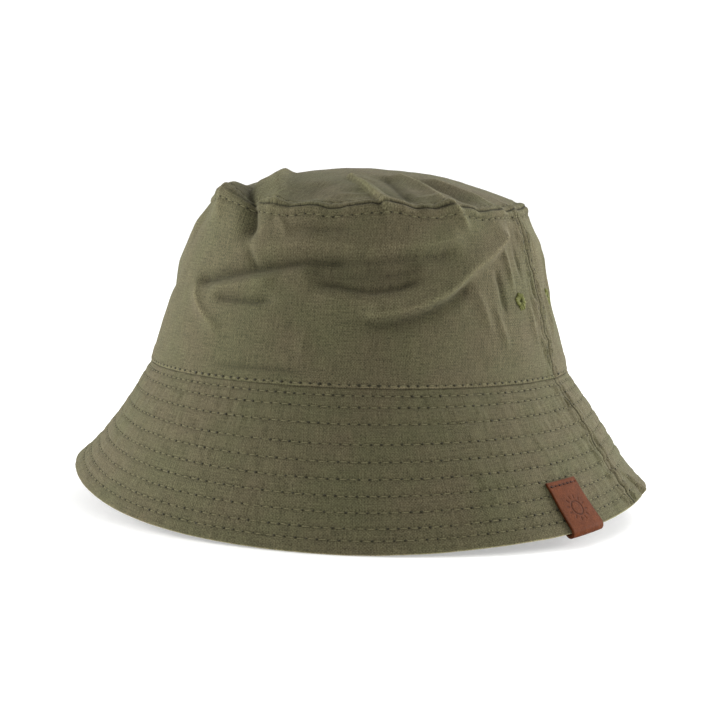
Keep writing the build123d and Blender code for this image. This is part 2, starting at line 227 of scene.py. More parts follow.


# Folds of the crown, as (path, height, width above, width below, tone of the crest: lighter
# for worn paler cloth and painted highlight, darker below nought for painted shade in a
# crease). A path's points are (degrees, mm from the tip seam): inwards on the dome, and below
# nought down the wall. On upright paths, above and below are right and left as seen from
# outside.
FOLDS = [
    # the pinch at the front right shoulder: bump, valley beside it, and the ridge after that
    ([(-138, 16), (-124, 2), (-121, -14)], 2.7, 6, 7, 0.1),
    ([(-140, 32), (-126, 14), (-108, 1), (-105, -9), (-103, -19)], -4.6, 3.4, 4.6, -0.32),
    ([(-140, 39), (-102, 13), (-96, 1), (-97.5, -6)], 3.1, 3.2, 5, 0.3),
    ([(-95, -4), (-91, -9), (-89, -15)], 1.1, 1.5, 3, 0.18),
    ([(-88, 30), (-86, 9), (-84, 2)], -1.4, 6, 6, 0),
    ([(-175, -13), (-156, -14), (-138, -12)], 2.2, 7, 7, 0),
    ([(-165, 30), (-142, 22), (-126, 10)], -2.4, 8, 8, 0),
    # folds that cross the tip seam in the middle and at the left of the front
    ([(-82, 44), (-65, 20), (-59, 2), (-57, -8)], 2.7, 6, 1.2, 0.38),
    ([(-74, 38), (-56, 16), (-52, 3)], -2.1, 5, 2.6, -0.1),
    ([(-46, 50), (-49, 19), (-47, 2)], -1.9, 5, 3, -0.18),
    ([(-36, 52), (-33, 21), (-36, 4), (-31, -6), (-28, -13)], 2.2, 2.2, 4, 0.32),
    ([(-24, 48), (-22, 18), (-22, 3)], -1.7, 4, 2.6, -0.14),
    ([(-14, 44), (-13, 18), (-12, 4)], 1.6, 2.4, 4, 0.22),
    ([(-78, 12), (-66, 11), (-58, 12)], 0.9, 1.6, 2.6, 0.12),
    ([(-50, 9), (-40, 11), (-30, 9)], 0.8, 1.6, 2.6, 0.1),
    # level creases under the tip seam, and the light roll of cloth between them
    ([(-90, -10.4), (-77, -9.7), (-66, -9.2)], -1.4, 2.4, 3, -0.14),
    ([(-104, -21), (-88, -17.3), (-75, -16.3), (-61, -18.8), (-44, -15.2), (-30, -13)],
     1.9, 4.4, 3.4, 0.05),
    ([(-126, -36), (-116, -33.5), (-105.5, -30.4), (-98, -28), (-87, -25), (-80, -23.6),
      (-68, -23.6)], -3.3, 2.6, 2.6, -0.3),
    ([(-76, -23.8), (-62, -23.3), (-49, -21.4), (-33, -18)], -1.9, 2.4, 3, -0.14),
    ([(-118, -38), (-104, -35), (-90, -31)], 1.5, 2, 4.5, 0.04),
    ([(-115, -40.5), (-109, -41.3), (-97.5, -41.7), (-89, -40.5)], -2.3, 2.4, 1.5, -0.26),
    ([(-125, -34.5), (-123.6, -40), (-119, -46), (-113, -51.5), (-106, -56)], 1.5, 1.8, 3.2, 0.34),
    ([(-104, -18), (-101, -24), (-98, -29)], -1.3, 2, 2, -0.14),
    # the hollow in the middle, and the crease along its lower side
    ([(-83, -29), (-72, -29.3), (-58, -29), (-46, -25.5)], -2.7, 4.6, 4.4, -0.06),
    ([(-80, -32.8), (-71.5, -33.2), (-62, -35.5), (-53, -33.3), (-46, -29)], -2.3, 2.4, 1.4, -0.28),
    ([(-80, -37.5), (-66, -39.5), (-52, -38)], 1.4, 2.2, 5, 0.03),
    # the long fold that comes down from the left side seam
    ([(-8.4, -8.6), (-16.5, -15.5), (-24.6, -22), (-31, -27), (-36, -32), (-41, -37), (-47, -40.6),
      (-53.4, -43.3), (-62, -46), (-66, -46)], 4.3, 6, 2, 0.2),
    ([(-65.5, -44), (-64, -48), (-61, -49), (-56, -47.8), (-50, -45.4), (-44.6, -42.8),
      (-38, -38), (-30, -30)], -2.3, 1.5, 3.2, -0.28),
    # small upright folds beside the left side seam
    ([(-30, -33), (-28, -41), (-26, -56)], 1.0, 2, 2.6, 0.07),
    ([(-21, -23), (-19.5, -33), (-19, -48)], -1.5, 1.5, 2.2, -0.16),
    ([(-15, -14), (-14.5, -26), (-13.5, -38)], 1.4, 1.5, 1.7, 0.16),
    ([(-9, -14), (-8, -24), (-8.5, -34)], -1.0, 1.3, 1.5, -0.1),
    ([(-24, -38), (-22, -50), (-20, -62)], 0.9, 1.8, 2, 0.06),
    ([(-6, -38), (-7, -50), (-6, -62)], 0.9, 1.6, 2, 0.08),
    ([(6, -34), (9, -46), (8, -60)], 1.2, 2, 2.6, 0.1),
    ([(0, -14), (24, -18), (48, -14)], 2.3, 9, 14, 0),
    # faint pressed lines near the brim and down the front
    ([(-107, -68.9), (-94, -68.4), (-86, -68.3), (-77, -68.7)], -0.9, 1.4, 1.6, -0.2),
    ([(-80, -48), (-81, -60), (-80, -70)], 0.5, 2.2, 2.2, 0.04),
    ([(-52, -50), (-51, -60), (-52, -68)], 0.5, 2, 2, 0.06),
    ([(-62, -50), (-62, -60), (-63, -70)], -0.4, 2, 2, -0.05),
    # the back and the right, where the cloth hangs in a few soft folds
    ([(40, -14), (62, -24), (84, -22)], 2.2, 6, 3, 0.1),
    ([(46, -28), (70, -38), (96, -34)], -2.6, 3, 2, -0.2),
    ([(100, 12), (106, -6), (118, -24)], 2.2, 5, 3.4, 0.16),
    ([(120, -20), (140, -32), (160, -30)], 2.2, 6, 2.6, 0.1),
    ([(124, -34), (144, -44), (166, -42)], -2.4, 3, 2, -0.2),
    ([(-174, -18), (-164, -28), (-150, -32)], 0.9, 6, 5, 0.06),
    ([(-170, -32), (-158, -40), (-142, -42)], -0.9, 3, 3, -0.14),
    ([(28, -40), (48, -52), (72, -56)], 1.7, 5, 2.4, 0.1),
    ([(84, -46), (104, -56), (128, -54)], -1.8, 3, 2, -0.16),
    ([(60, 30), (72, 10), (80, -4)], -2.0, 4, 5, -0.12),
    ([(140, 34), (132, 12), (130, -5)], 1.9, 4, 3, 0.2),
    ([(14, -16), (15, -30), (17, -46)], 1.0, 1.8, 2, 0.1),
    ([(22, -14), (24, -30), (26, -48)], -1.0, 1.8, 2, -0.1),
    ([(164, -14), (163, -30), (161, -48)], 1.0, 1.8, 2, 0.1),
    ([(-164, -12), (-166, -26), (-167, -44)], -0.9, 1.8, 2, -0.08),
]


def folds(phi, q):
    """The relief of all the folds, and their crest lines: worn paler with painted highlight on ridges,
    painted shade in creases.
    """
    reliefs, fold_lines = zip(*(fold(phi, q, *entry) for entry in FOLDS))
    return sum(reliefs), sum(fold_lines)


# How far the tip seam is lifted, and how far it is drawn in, round the crown.
seam_lift = round_curve([
    (-156, -1.5), (-138, 2.2), (-121, 4.7), (-106, 0.5), (-94, -1.2), (-60, 0.4), (-50, -0.2),
    (-36, -0.8), (-13, -1.6), (8, -1.1), (24, -0.9), (60, -0.4), (100, 0.5), (140, -1), (180, -1.5),
])
seam_inset = round_curve([
    (-156, 6.8), (-138, 4.8), (-119, 1.5), (-104, 0.5), (-60, 0), (-20, 0.2), (8, 0.8),
    (24, 1.2), (60, 0.4), (110, 0), (150, 2), (180, 4.5),
])


# ---------------------------------------------------------------- the crown's surface

def level_normal(phi, half_x, half_y):
    """The level outward direction on an oval."""
    x, y = np.cos(phi) / half_x, np.sin(phi) / half_y
    size = np.hypot(x, y)
    return x / size, y / size


def crown_noise(phi, q, cell_u, cell_v, seed):
    """Random bumps that run on from the wall to the dome without gathering at its middle."""
    u = phi * DOME_REACH
    polar = noise(u, q, cell_u, cell_v, seed, tau * DOME_REACH)
    level = noise(reach(q) * np.cos(phi) + 500, reach(q) * np.sin(phi) + 500, cell_u, cell_v, seed + 50)
    share = smooth((q - 6) / 20)
    return polar * (1 - share) + level * share


def seam_gape(phi):
    """How open the tip seam's groove is: the pinch at the front right shoulder closes it."""
    return 1 - 0.8 * bell(angle_gap(phi, radians(-130)), radians(26))


def crown_relief(phi, q, plain=False):
    """How far the crown's cloth stands out from its smooth shape. A plain one has no seams."""
    near_seam = np.exp(-abs(q) / 8)
    relief = 1.0 * crown_noise(phi, q, 52, 34, 11) + 0.5 * crown_noise(phi, q, 21, 16, 12)
    relief += 0.2 * crown_noise(phi, q, 9, 11, 13) + 0.07 * crown_noise(phi, q, 3, 4.4, 14)
    relief += near_seam * 0.8 * crown_noise(phi, q, 7, 15, 15)
    relief += near_seam * 0.42 * crown_noise(phi, q, 3.4, 9, 16)
    gathers = bell(angle_gap(phi, radians(-26)), radians(30)) * np.exp(-abs(q) / 12)
    relief += gathers * 0.8 * crown_noise(phi, q, 4.8, 20, 17)
    relief += folds(phi, q)[0]
    relief *= smooth((CROWN_HEIGHT + q) / 9)
    if plain:
        return relief
    # the tip seam: cloth puffs up beside it, dips under the stitching and rolls in
    relief += 0.4 * bell(abs(q) - 2.2, 1.3) - 0.4 * bell(abs(q) - TIP_ROW, 0.7)
    relief -= 0.8 * seam_gape(phi) * bell(q, 0.6)
    return relief + side_seam_relief(phi, q, reach(q)) * smooth(-q / 3)


def side_seam_relief(phi, along, radius):
    """The raised allowances, stitch dips, puckers and groove of the side seams."""
    gap = side_gap(phi, radius)
    side = np.where(np.cos(phi) > 0, 1, -1)
    pucker = noise(along, side * 40.0 + gap / 3, 4.2, 1, 21) * bell(gap - SIDE_ROW, 3.4)
    raised = 0.3 * (1 - smooth((gap - 6) / 2))
    return raised + 1.25 * pucker - 0.55 * bell(gap - SIDE_ROW, 0.8) - 0.6 * bell(gap, 0.6)


def wall_oval(share):
    """The wall's half widths, at a share of its height."""
    return BASE_X + (TOP_X - BASE_X) * share, BASE_Y + (TOP_Y - BASE_Y) * share


def crown_smooth(phi, q):
    """The crown without relief: its points, and the direction that the cloth stands out in."""
    lift, inset = seam_lift(phi), seam_inset(phi)
    wobble = noise(phi * DOME_REACH, q * 0, 9, 1, 31, tau * DOME_REACH)
    wobble = wobble * (0.5 + 1.5 * bell(angle_gap(phi, radians(-44)), radians(28)))
    share = np.clip(1 + q / CROWN_HEIGHT, 0, 1)
    half_x, half_y = wall_oval(share)
    rho = np.clip(1 - q / DOME_REACH, 0, 1)
    drawn = inset * smooth(1 + q / 26)
    wall_x = (half_x - drawn) * np.cos(phi)
    wall_y = (half_y - drawn) * np.sin(phi)
    wall_z = share * CROWN_HEIGHT + (lift + wobble) * smooth(1 + q / 34)
    dome_x = (TOP_X - inset) * np.cos(phi) * rho
    dome_y = (TOP_Y - inset) * np.sin(phi) * rho
    rise = DOME_HEIGHT * (1 - rho**2)
    dome_z = CROWN_HEIGHT + rise + (lift + wobble * smooth(1 - q / 12)) * rho**2
    wall_and_dome = ((wall_x, dome_x), (wall_y, dome_y), (wall_z, dome_z))
    points = np.stack([np.where(q > 0, dome, wall) for wall, dome in wall_and_dome], -1)
    wall_tilt = np.arctan(WALL_SPREAD) + 0 * q
    dome_tilt = pi / 2 - np.arctan(2 * DOME_HEIGHT * rho / DOME_REACH)
    tilt = wall_tilt + (dome_tilt - wall_tilt) * smooth((q + 8) / 16)
    nx, ny = level_normal(phi, half_x, half_y)
    return points, np.stack([nx * np.cos(tilt), ny * np.cos(tilt), np.sin(tilt)], -1)


def crown_point(phi, q, inward=0.0, plain=False):
    """A point on the crown's cloth, inward mm under its outer face."""
    points, out = crown_smooth(phi, q)
    relief = crown_relief(phi, q, plain)
    if plain:
        return points + out * (relief - inward)[..., None]
    height = CROWN_HEIGHT + q
    hem = 0.55 * (1 - smooth((height - 5) / 3)) - 0.22 * bell(height - BASE_ROW, 0.45)
    roll = 1 - np.sqrt(1 - np.clip((0.9 - height) / 0.9, 0, 1) ** 2)
    shift = np.where(q < 0, relief + hem - 0.9 * roll, relief) - inward
    return points + out * shift[..., None]


# ---------------------------------------------------------------- the brim's surface

# How far the brim's edge is lifted, and how far its edge and its middle flare out, all round.
edge_mean = (edge_left[2] + edge_right[2]) / 2
edge_tweak = round_curve([
    (-170, 1.2), (-156, 1.8), (-130, 1.1), (-110, 0.3), (-84, -0.5), (-68, -2.0), (-46, -2.3),
    (-28, -2.9), (-16, -1.6), (-7, -0.1), (4, 1.9), (12, 4.0), (22, 4.8), (34, 3.6), (50, 1.2),
    (90, 0), (140, 0.4),
])
tip_flare = round_curve([
    (-156, 1.1), (-130, 0.3), (-100, 0), (-40, 0), (0, 0.9), (20, 1.9), (40, 0.8), (80, 0),
    (150, 0.2), (180, 0.8),
])
middle_flare = round_curve([
    (-156, -1.3), (-130, -0.4), (-100, 0), (-40, 0), (0, 0.5), (22, 1.2), (45, 0.5), (80, 0),
    (150, -0.2), (180, -1),
])


def edge_height(phi):
    """The height of the brim's edge."""
    swing = (edge_left[2] - edge_right[2]) / 2
    saddle = (edge_mean - edge_front[2]) * np.cos(phi) ** 2
    return edge_front[2] + saddle + swing * np.cos(phi) + edge_tweak(phi)


def brim_smooth(phi, share):
    """The brim's top without relief: its points."""
    z = share * edge_height(phi)
    flare = tip_flare(phi) * 2.6 * np.clip((share - 0.7) / 0.3, 0, 1.2) ** 2
    flare += middle_flare(phi) * np.sin(pi * np.clip(share, 0, 1))
    half_x = BASE_X - 0.1 - FLARE_X * z + flare
    half_y = BASE_Y - 0.1 - FLARE_Y * z + flare
    return np.stack([half_x * np.cos(phi), half_y * np.sin(phi), z + 0 * half_x], -1)


def surface_normal(surface, phi, share):
    """The outward normal of a surface over (angle, share), by small steps."""
    d = 1e-3
    across = surface(phi + d, share) - surface(phi - d, share)
    down = surface(phi, share + d) - surface(phi, share - d)
    return unit(np.cross(down, across))


def brim_noise(phi, share, cell_u, cell_v, seed):
    """Random bumps over the brim."""
    return noise(phi * BRIM_RADIUS, share * BRIM_WIDTH, cell_u, cell_v, seed, tau * BRIM_RADIUS)


def brim_wave(phi, share):
    """The brim's slow waves, which all its plies share."""
    return 0.9 * share * brim_noise(phi, share, 62, 60, 41)


def brim_relief(phi, share):
    """Quilting, puckers and slow waves of the brim."""
    t = share * BRIM_WIDTH
    relief = brim_wave(phi, share) + 0.35 * share * brim_noise(phi, share, 24, 30, 42)
    quilt = row_bells(t, 1.0)
    relief -= 0.4 * quilt
    relief += (1 - 0.8 * quilt) * 0.22 * brim_noise(phi, share, 5.4, 6.8, 43)
    relief += 0.16 * brim_noise(phi, share, 2.4, 5.2, 44)
    relief += 0.05 * brim_noise(phi, share, 1.7, 1.9, 45)
    # the dent where the side seam's allowances stiffen the edge
    bent = angle_gap(phi, radians(7)) * EDGE_RADIUS - (t - 60) * 0.7
    relief += (1.3 * bell(bent - 4.5, 3) - 1.5 * bell(bent, 2)) * smooth((t - 50) / 9)
    return relief + 1.05 * side_seam_relief(phi, t, BRIM_RADIUS) * smooth((t - 1) / 5)


def brim_point(phi, share, under=0.0):
    """A point on the brim's cloth, under mm below its upper face."""
    points = brim_smooth(phi, share)
    normal = surface_normal(brim_smooth, phi, share)
    relief = brim_relief(phi, share)
    if np.any(under):
        own = brim_wave(phi, share) + 0.42 * row_bells(share * BRIM_WIDTH, 1.0)
        own += 0.15 * brim_noise(phi, share, 6.1, 7.3, 46)
        relief = np.where(under > CLOTH, own, relief)
    return points + normal * (relief - under)[..., None]


# ---------------------------------------------------------------- mesh making

def new_mesh(name, points, faces, cloth, tone_and_painted_light, body=HAT):
    """A mesh object from points in millimetres. cloth is each point's place on the flat
    material, in mm, and wear is how much lighter or darker it is there, from worn or printed
    tone and from painted highlight and painted shade: both are for the shader."""
    mesh = bpy.data.meshes.new(name)
    mesh.from_pydata((np.asarray(points, float) * MM).tolist(), [], faces)
    layer = mesh.attributes.new("cloth", "FLOAT_VECTOR", "POINT")
    layer.data.foreach_set("vector", np.asarray(cloth, np.float32).ravel())
    layer = mesh.attributes.new("tone_and_painted_light", "FLOAT", "POINT")
    layer.data.foreach_set("value", np.asarray(tone_and_painted_light, np.float32).ravel())
    mesh.polygons.foreach_set("use_smooth", [True] * len(mesh.polygons))
    mesh.validate()
    if signed_volume(mesh) < 0:
        mesh.flip_normals()
    piece = bpy.data.objects.new(name, mesh)
    bpy.context.scene.collection.objects.link(piece)
    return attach(piece, body)


def signed_volume(mesh):
    """The volume inside a closed mesh, below nought where its faces look inwards."""
    mesh.calc_loop_triangles()
    corners = np.empty(len(mesh.loop_triangles) * 3, np.int32)
    mesh.loop_triangles.foreach_get("vertices", corners)
    places = np.empty(len(mesh.vertices) * 3, np.float32)
    mesh.vertices.foreach_get("co", places)
    a, b, c = places.reshape(-1, 3)[corners.reshape(-1, 3)].transpose(1, 0, 2)
    return float((a * np.cross(b, c)).sum())


def grid_faces(rows, columns, start=0, closed=False, flip=False):
    """Quads of a grid of points that are numbered row by row from start."""
    width = columns if closed else columns - 1
    i, j = np.meshgrid(np.arange(rows - 1), np.arange(width), indexing="ij")
    here, ahead = i * columns + j, i * columns + (j + 1) % columns
    quads = np.stack([here, ahead, ahead + columns, here + columns], -1)
    quads = quads.reshape(-1, 4) + start
    return (quads[:, ::-1] if flip else quads).tolist()


def laid(u, v, w=0.0):
    """The places on the flat cloth of a grid of points, u mm along it and v mm across, and
    w mm deep."""
    return np.stack([u, v, w + 0 * u], -1).reshape(-1, 3)


def shell(
    name, outer, inner, cloth, tone_and_painted_light, body=HAT, closed=False, capped=False, keep=None, alike=False
):
    """A closed piece of cloth between an outer and an inner grid of points, each
    (rows, columns, 3). They share their columns, and their rows may differ in number.
    cloth may be the outer grid's alone, and then serves the inner one too. wear is the outer
    grid's, and the inner one has none, or the same where the two are alike.
    closed joins the last column to the first, and capped fills both last rows with a face.
    keep leaves quads out of two equal grids, and closes round the holes."""
    rows, columns = outer.shape[:2]
    inner_rows = inner.shape[0]
    start = rows * columns
    faces = grid_faces(rows, columns, 0, closed)
    back = grid_faces(inner_rows, columns, start, closed, flip=True)
    if keep is not None:
        faces = [face for face, kept in zip(faces, keep.ravel()) if kept]
        back = [face for face, kept in zip(back, keep.ravel()) if kept]
        for i, j in zip(*np.nonzero(~keep)):
            a, b = i * columns + j, (i + 1) * columns + j
            sides = (
                (a, a + 1, i - 1, j),
                (a + 1, b + 1, i, j + 1),
                (b + 1, b, i + 1, j),
                (b, a, i, j - 1),
            )
            for v, w, next_i, next_j in sides:
                if keep[next_i, next_j]:
                    faces.append([v, w, start + w, start + v])
    faces += back
    last, inner_last = (rows - 1) * columns, start + (inner_rows - 1) * columns
    for j in range(columns if closed else columns - 1):
        k = (j + 1) % columns
        faces.append([j, start + j, start + k, k])
        if not capped:
            faces.append([last + j, last + k, inner_last + k, inner_last + j])
    if capped:
        faces.append([last + j for j in range(columns)])
        faces.append([inner_last + j for j in range(columns)][::-1])
    if not closed:
        for j, turn in ((0, 1), (columns - 1, -1)):
            rim = [i * columns + j for i in range(rows)]
            back = [start + i * columns + j for i in range(inner_rows)]
            faces.append((rim + back[::-1])[::turn])
    points = np.concatenate([outer.reshape(-1, 3), inner.reshape(-1, 3)])
    if len(cloth) < len(points):
        cloth = np.tile(cloth, (2, 1))
    inner_tone = tone_and_painted_light if alike else np.zeros(inner.shape[:2])
    tone_and_painted_light = np.concatenate([tone_and_painted_light.ravel(), inner_tone.ravel()])
    return new_mesh(name, points, faces, cloth, tone_and_painted_light, body)


def spread(low, high, coarse, fine, places):
    """Steps from low to high, fine near the given places and coarse elsewhere."""
    steps = [low]
    while steps[-1] < high:
        near = min(abs(steps[-1] + coarse / 2 - p) for p in places)
        steps.append(steps[-1] + (fine if near < 2.2 * coarse else coarse))
    steps = np.array(steps)
    return low + (steps - low) * (high - low) / (steps[-1] - low)


def dress(piece, material, slot, *nodes):
    """Gives a piece its material, and hides the CAD nodes it stands for. slot, the name of its finish, is
    not used.
    """
    piece.data.materials.append(material)
    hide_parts(*nodes)
    return piece


# ---------------------------------------------------------------- materials

class Nodes:
    """Short names for building one material's nodes."""

    def __init__(self, name):
        self.material = bpy.data.materials.new(name)
        self.material.use_nodes = True
        self.tree = self.material.node_tree
        self.shader = self.tree.nodes["Principled BSDF"]

    def add(self, kind, inputs=(), **settings):
        node = self.tree.nodes.new(kind)
        for key, value in settings.items():
            setattr(node, key, value)
        for key, value in dict(inputs).items():
            self.feed(node.inputs[key], value)
        return node

    def feed(self, socket, value):
        if isinstance(value, bpy.types.NodeSocket):
            self.tree.links.new(value, socket)
        else:
            socket.default_value = value

    def math(self, operation, a, b=0.0, c=0.0):
        node = self.add("ShaderNodeMath", operation=operation)
        for socket, value in zip(node.inputs, (a, b, c)):
            self.feed(socket, value)
        return node.outputs[0]

    def attribute(self, name, output):
        node = self.add("ShaderNodeAttribute", attribute_name=name)
        return node.outputs[output]

    def scaled(self, vector, scale):
        node = self.add("ShaderNodeMapping")
        self.feed(node.inputs["Vector"], vector)
        node.inputs["Scale"].default_value = scale
        return node.outputs[0]

    def noise(self, vector, scale=1.0, detail=2.0, roughness=0.5):
        inputs = {"Vector": vector, "Scale": scale, "Detail": detail, "Roughness": roughness}
        return self.add("ShaderNodeTexNoise", inputs).outputs["Fac"]

    def band(self, value, low, high, to_low=0.0, to_high=1.0):
        inputs = {"Value": value, "From Min": low, "From Max": high, "To Min": to_low, "To Max": to_high}
        return self.add("ShaderNodeMapRange", inputs).outputs["Result"]

    def mix(self, factor, a, b, blend="MIX"):
        node = self.add("ShaderNodeMix", data_type="RGBA", blend_type=blend)
        for key, value in ((0, factor), (6, a), (7, b)):
            self.feed(node.inputs[key], value)
        return node.outputs[2]

    def fixed(self, **values):
        """Sets sockets of the shader that are the same all over, with _ for each space."""
        for key, value in values.items():
            self.shader.inputs[key.replace("_", " ")].default_value = value

    def shade(self, base, tone):
        """Sets the base colour: base, made lighter or darker by tone."""
        grey = self.add("ShaderNodeCombineXYZ", {"X": tone, "Y": tone, "Z": tone}).outputs[0]
        self.feed(self.shader.inputs["Base Color"], self.mix(1.0, base, grey, "MULTIPLY"))

    def bump(self, height, distance, strength=1.0, before=None):
        node = self.add("ShaderNodeBump", {"Height": height, "Distance": distance, "Strength": strength})
        if before is not None:
            self.feed(node.inputs["Normal"], before)
        return node.outputs[0]


def colour(rgb):
    """A node colour."""
    return (*rgb, 1.0)


def cloth_material(name, rgb, slub=1.0, weave=0.62, fuzz=0.03):
    """Plain-weave cotton: crossing threads, slubs both ways, slow mottling, and each point's own tone:
    worn paler places, and painted highlight and painted shade.
    """
    n = Nodes(name)
    place = n.attribute("cloth", "Vector")
    tone_and_painted_light = n.attribute("tone_and_painted_light", "Fac")
    parts = n.add("ShaderNodeSeparateXYZ", {"Vector": place})
    # threads: each thread wanders a little, so the weave never lines up with anything
    wander = n.noise(n.scaled(place, (0.35, 0.35, 1)), 1.0, 1.0)
    threads = []
    for across in parts.outputs[:2]:
        count = n.math("MULTIPLY", across, pi / weave)
        threads.append(n.math("SINE", n.math("MULTIPLY_ADD", wander, 3.0, count)))
    crossing = n.math("MULTIPLY", *threads)
    # slubs: thick places along single threads, a few millimetres to centimetres long
    down = n.noise(n.scaled(place, (1.7, 0.13, 1)), 1.0, 3.0, 0.7)
    over = n.noise(n.scaled(place, (0.11, 1.9, 1)), 1.0, 3.0, 0.7)
    slubs = n.math("ADD", n.band(down, 0.35, 0.65, -1, 1), n.band(over, 0.35, 0.65, -0.85, 0.85))
    grain = n.noise(n.scaled(place, (1.5, 1.25, 1)), 1.0, 2.0, 0.75)
    patches = n.noise(n.scaled(place, (0.028, 0.034, 1)), 1.0, 3.0, 0.55)
    base = n.mix(
        n.band(patches, 0.38, 0.62),
        colour((rgb[0] * 0.965, rgb[1] * 1.0, rgb[2] * 0.95)),
        colour((rgb[0] * 1.045, rgb[1] * 0.99, rgb[2] * 1.02)),
    )
    tone = n.math("MULTIPLY_ADD", slubs, 0.2 * slub, 1.0)
    tone = n.math("ADD", tone, n.band(grain, 0.3, 0.7, -0.42, 0.42))
    tone = n.math("ADD", tone, n.math("MULTIPLY", crossing, 0.17))
    # each point's tone: worn paler places, and painted highlight and painted shade in folds, seams and
    # rows
    tone = n.math("MULTIPLY", tone, n.math("MAXIMUM", n.math("ADD", tone_and_painted_light, 1.0), 0.08))
    n.shade(base, tone)
    n.feed(n.shader.inputs["Roughness"], n.band(grain, 0.2, 0.8, 0.85, 0.97))
    rough = n.bump(n.math("MULTIPLY_ADD", slubs, 0.4, n.math("MULTIPLY", crossing, 0.5)), 0.00012, 0.8)
    n.feed(n.shader.inputs["Normal"], n.bump(grain, 0.00018, 0.7, rough))
    n.fixed(Specular_IOR_Level=0.1, Sheen_Weight=fuzz, Sheen_Roughness=0.45)
    n.fixed(Sheen_Tint=colour((0.85, 0.82, 0.7)))
    return n.material


def leather_material(name, rgb):
    """Smooth tanned leather: fine pores and creases, uneven dye, dark cut edges."""
    n = Nodes(name)
    place = n.attribute("cloth", "Vector")
    tone_and_painted_light = n.attribute("tone_and_painted_light", "Fac")
    dye = n.noise(n.scaled(place, (0.22, 0.16, 0.3)), 1.0, 4.0, 0.6)
    pores = n.noise(n.scaled(place, (3.1, 2.7, 3.0)), 1.0, 3.0, 0.65)
    cells = n.add("ShaderNodeTexVoronoi", {"Vector": n.scaled(place, (1.9, 1.6, 2.0)), "Scale": 1.0})
    grain = cells.outputs["Distance"]
    flecks = n.noise(n.scaled(place, (1.3, 1.1, 1.3)), 1.0, 2.0, 0.6)
    tone = n.math("ADD", n.band(dye, 0.3, 0.7, 0.78, 1.2), n.band(pores, 0.3, 0.7, -0.2, 0.2))
    tone = n.math("ADD", tone, n.band(flecks, 0.3, 0.7, -0.2, 0.2))
    # each point's tone: the mark's print, dark cut edges, darker towards the pressed ends, and painted
    # shade in the stitch holes
    tone = n.math("MULTIPLY", tone, n.math("ADD", tone_and_painted_light, 1.0))
    n.shade(colour(rgb), tone)
    n.feed(n.shader.inputs["Roughness"], n.band(pores, 0.3, 0.7, 0.5, 0.68))
    creases = n.bump(grain, 0.00012, 0.5)
    n.feed(n.shader.inputs["Normal"], n.bump(pores, 0.0001, 0.6, creases))
    n.fixed(Specular_IOR_Level=0.05)
    return n.material


def thread_material(name, rgb, twist=0.9):
    """Spun thread: fine twisted plies, and painted shade where it dives into the cloth."""
    n = Nodes(name)
    place = n.attribute("cloth", "Vector")
    tone_and_painted_light = n.attribute("tone_and_painted_light", "Fac")
    parts = n.add("ShaderNodeSeparateXYZ", {"Vector": place})
    slant = n.math("ADD", n.math("MULTIPLY", parts.outputs[0], tau / twist), parts.outputs[1])
    plies = n.math("SINE", slant)
    hairs = n.noise(n.scaled(place, (3.0, 1.0, 1)), 1.0, 2.0, 0.6)
    tone = n.math("MULTIPLY_ADD", plies, 0.1, n.band(hairs, 0.3, 0.7, 0.9, 1.1))
    # each point's tone: painted shade at stitch ends and needle holes, painted highlight and shade on
    # eyelet threads
    tone = n.math("MULTIPLY", tone, n.math("ADD", tone_and_painted_light, 1.0))
    n.shade(colour(rgb), tone)
    n.feed(n.shader.inputs["Roughness"], n.band(hairs, 0.2, 0.8, 0.55, 0.75))
    n.feed(n.shader.inputs["Normal"], n.bump(plies, 0.00006, 0.8))
    n.fixed(Specular_IOR_Level=0.05, Sheen_Weight=0.03)
    return n.material


OLIVE = (0.083, 0.0758, 0.042)
cotton = cloth_material("olive_plain_weave", OLIVE)
lining = cloth_material("olive_under_weave", tuple(c * 0.92 for c in OLIVE))
olive_thread = thread_material("olive_spun_thread", (0.142, 0.13, 0.07))


# ---------------------------------------------------------------- the crown

def row_count(length):
    """How many stitches fit a row."""
    return max(1, round(length / STITCH_PITCH))


def oval_length(half_x, half_y):
    """The way round an oval."""
    h = ((half_x - half_y) / (half_x + half_y)) ** 2
    return pi * (half_x + half_y) * (1 + 3 * h / (10 + sqrt(4 - 3 * h)))


WALL_ROW_STITCHES = row_count(oval_length(TOP_X + 1, TOP_Y + 1))
DOME_ROW_STITCHES = row_count(oval_length(TOP_X - 4, TOP_Y - 4))
BASE_ROW_STITCHES = row_count(oval_length(BASE_X, BASE_Y))


def crown_wear_and_painted_light(phi, q):
    """Painted highlight along ridges and folded edges, partly worn paler cloth, and painted shade in
    grooves and creases.
    """
    relief, tone_and_painted_light = folds(phi, q)
    # painted shade in hollows and painted highlight on bumps, and painted shade in the tip seam's groove
    tone_and_painted_light = tone_and_painted_light + 0.06 * np.clip(relief, -3, 2) - 0.75 * seam_gape(phi) * bell(q, 0.5)
    # painted highlight on the puffs beside the tip seam, painted shade in the dips under its stitches
    tone_and_painted_light += 0.07 * bell(abs(q) - 2.0, 1.0) - 0.1 * bell(abs(q) - TIP_ROW, 0.8)
    height = CROWN_HEIGHT + q
    # painted highlight on the hem's folded edge at the foot of the wall, painted shade along the base row
    tone_and_painted_light += 0.45 * bell(height - 0.7, 0.5) * (q < 0) - 0.14 * bell(height - BASE_ROW, 0.6)
    gap = side_gap(phi, reach(q))
    on_wall = q < -TIP_ROW
    # side seams: painted highlight on the raised allowances and beside the rows, painted shade in the
    # groove and along the rows
    tone_and_painted_light += on_wall * (0.1 * bell(gap - 1.4, 0.7) - 0.6 * bell(gap, 0.5) - 0.3 * bell(gap - SIDE_ROW, 0.7))
    tone_and_painted_light += on_wall * 0.16 * bell(gap - SIDE_ROW - 1.2, 0.5)
    return tone_and_painted_light


# the first, last and middle angle of each half
HALVES = {"front": (-pi, 0.0, -pi / 2), "back": (0.0, pi, pi / 2)}


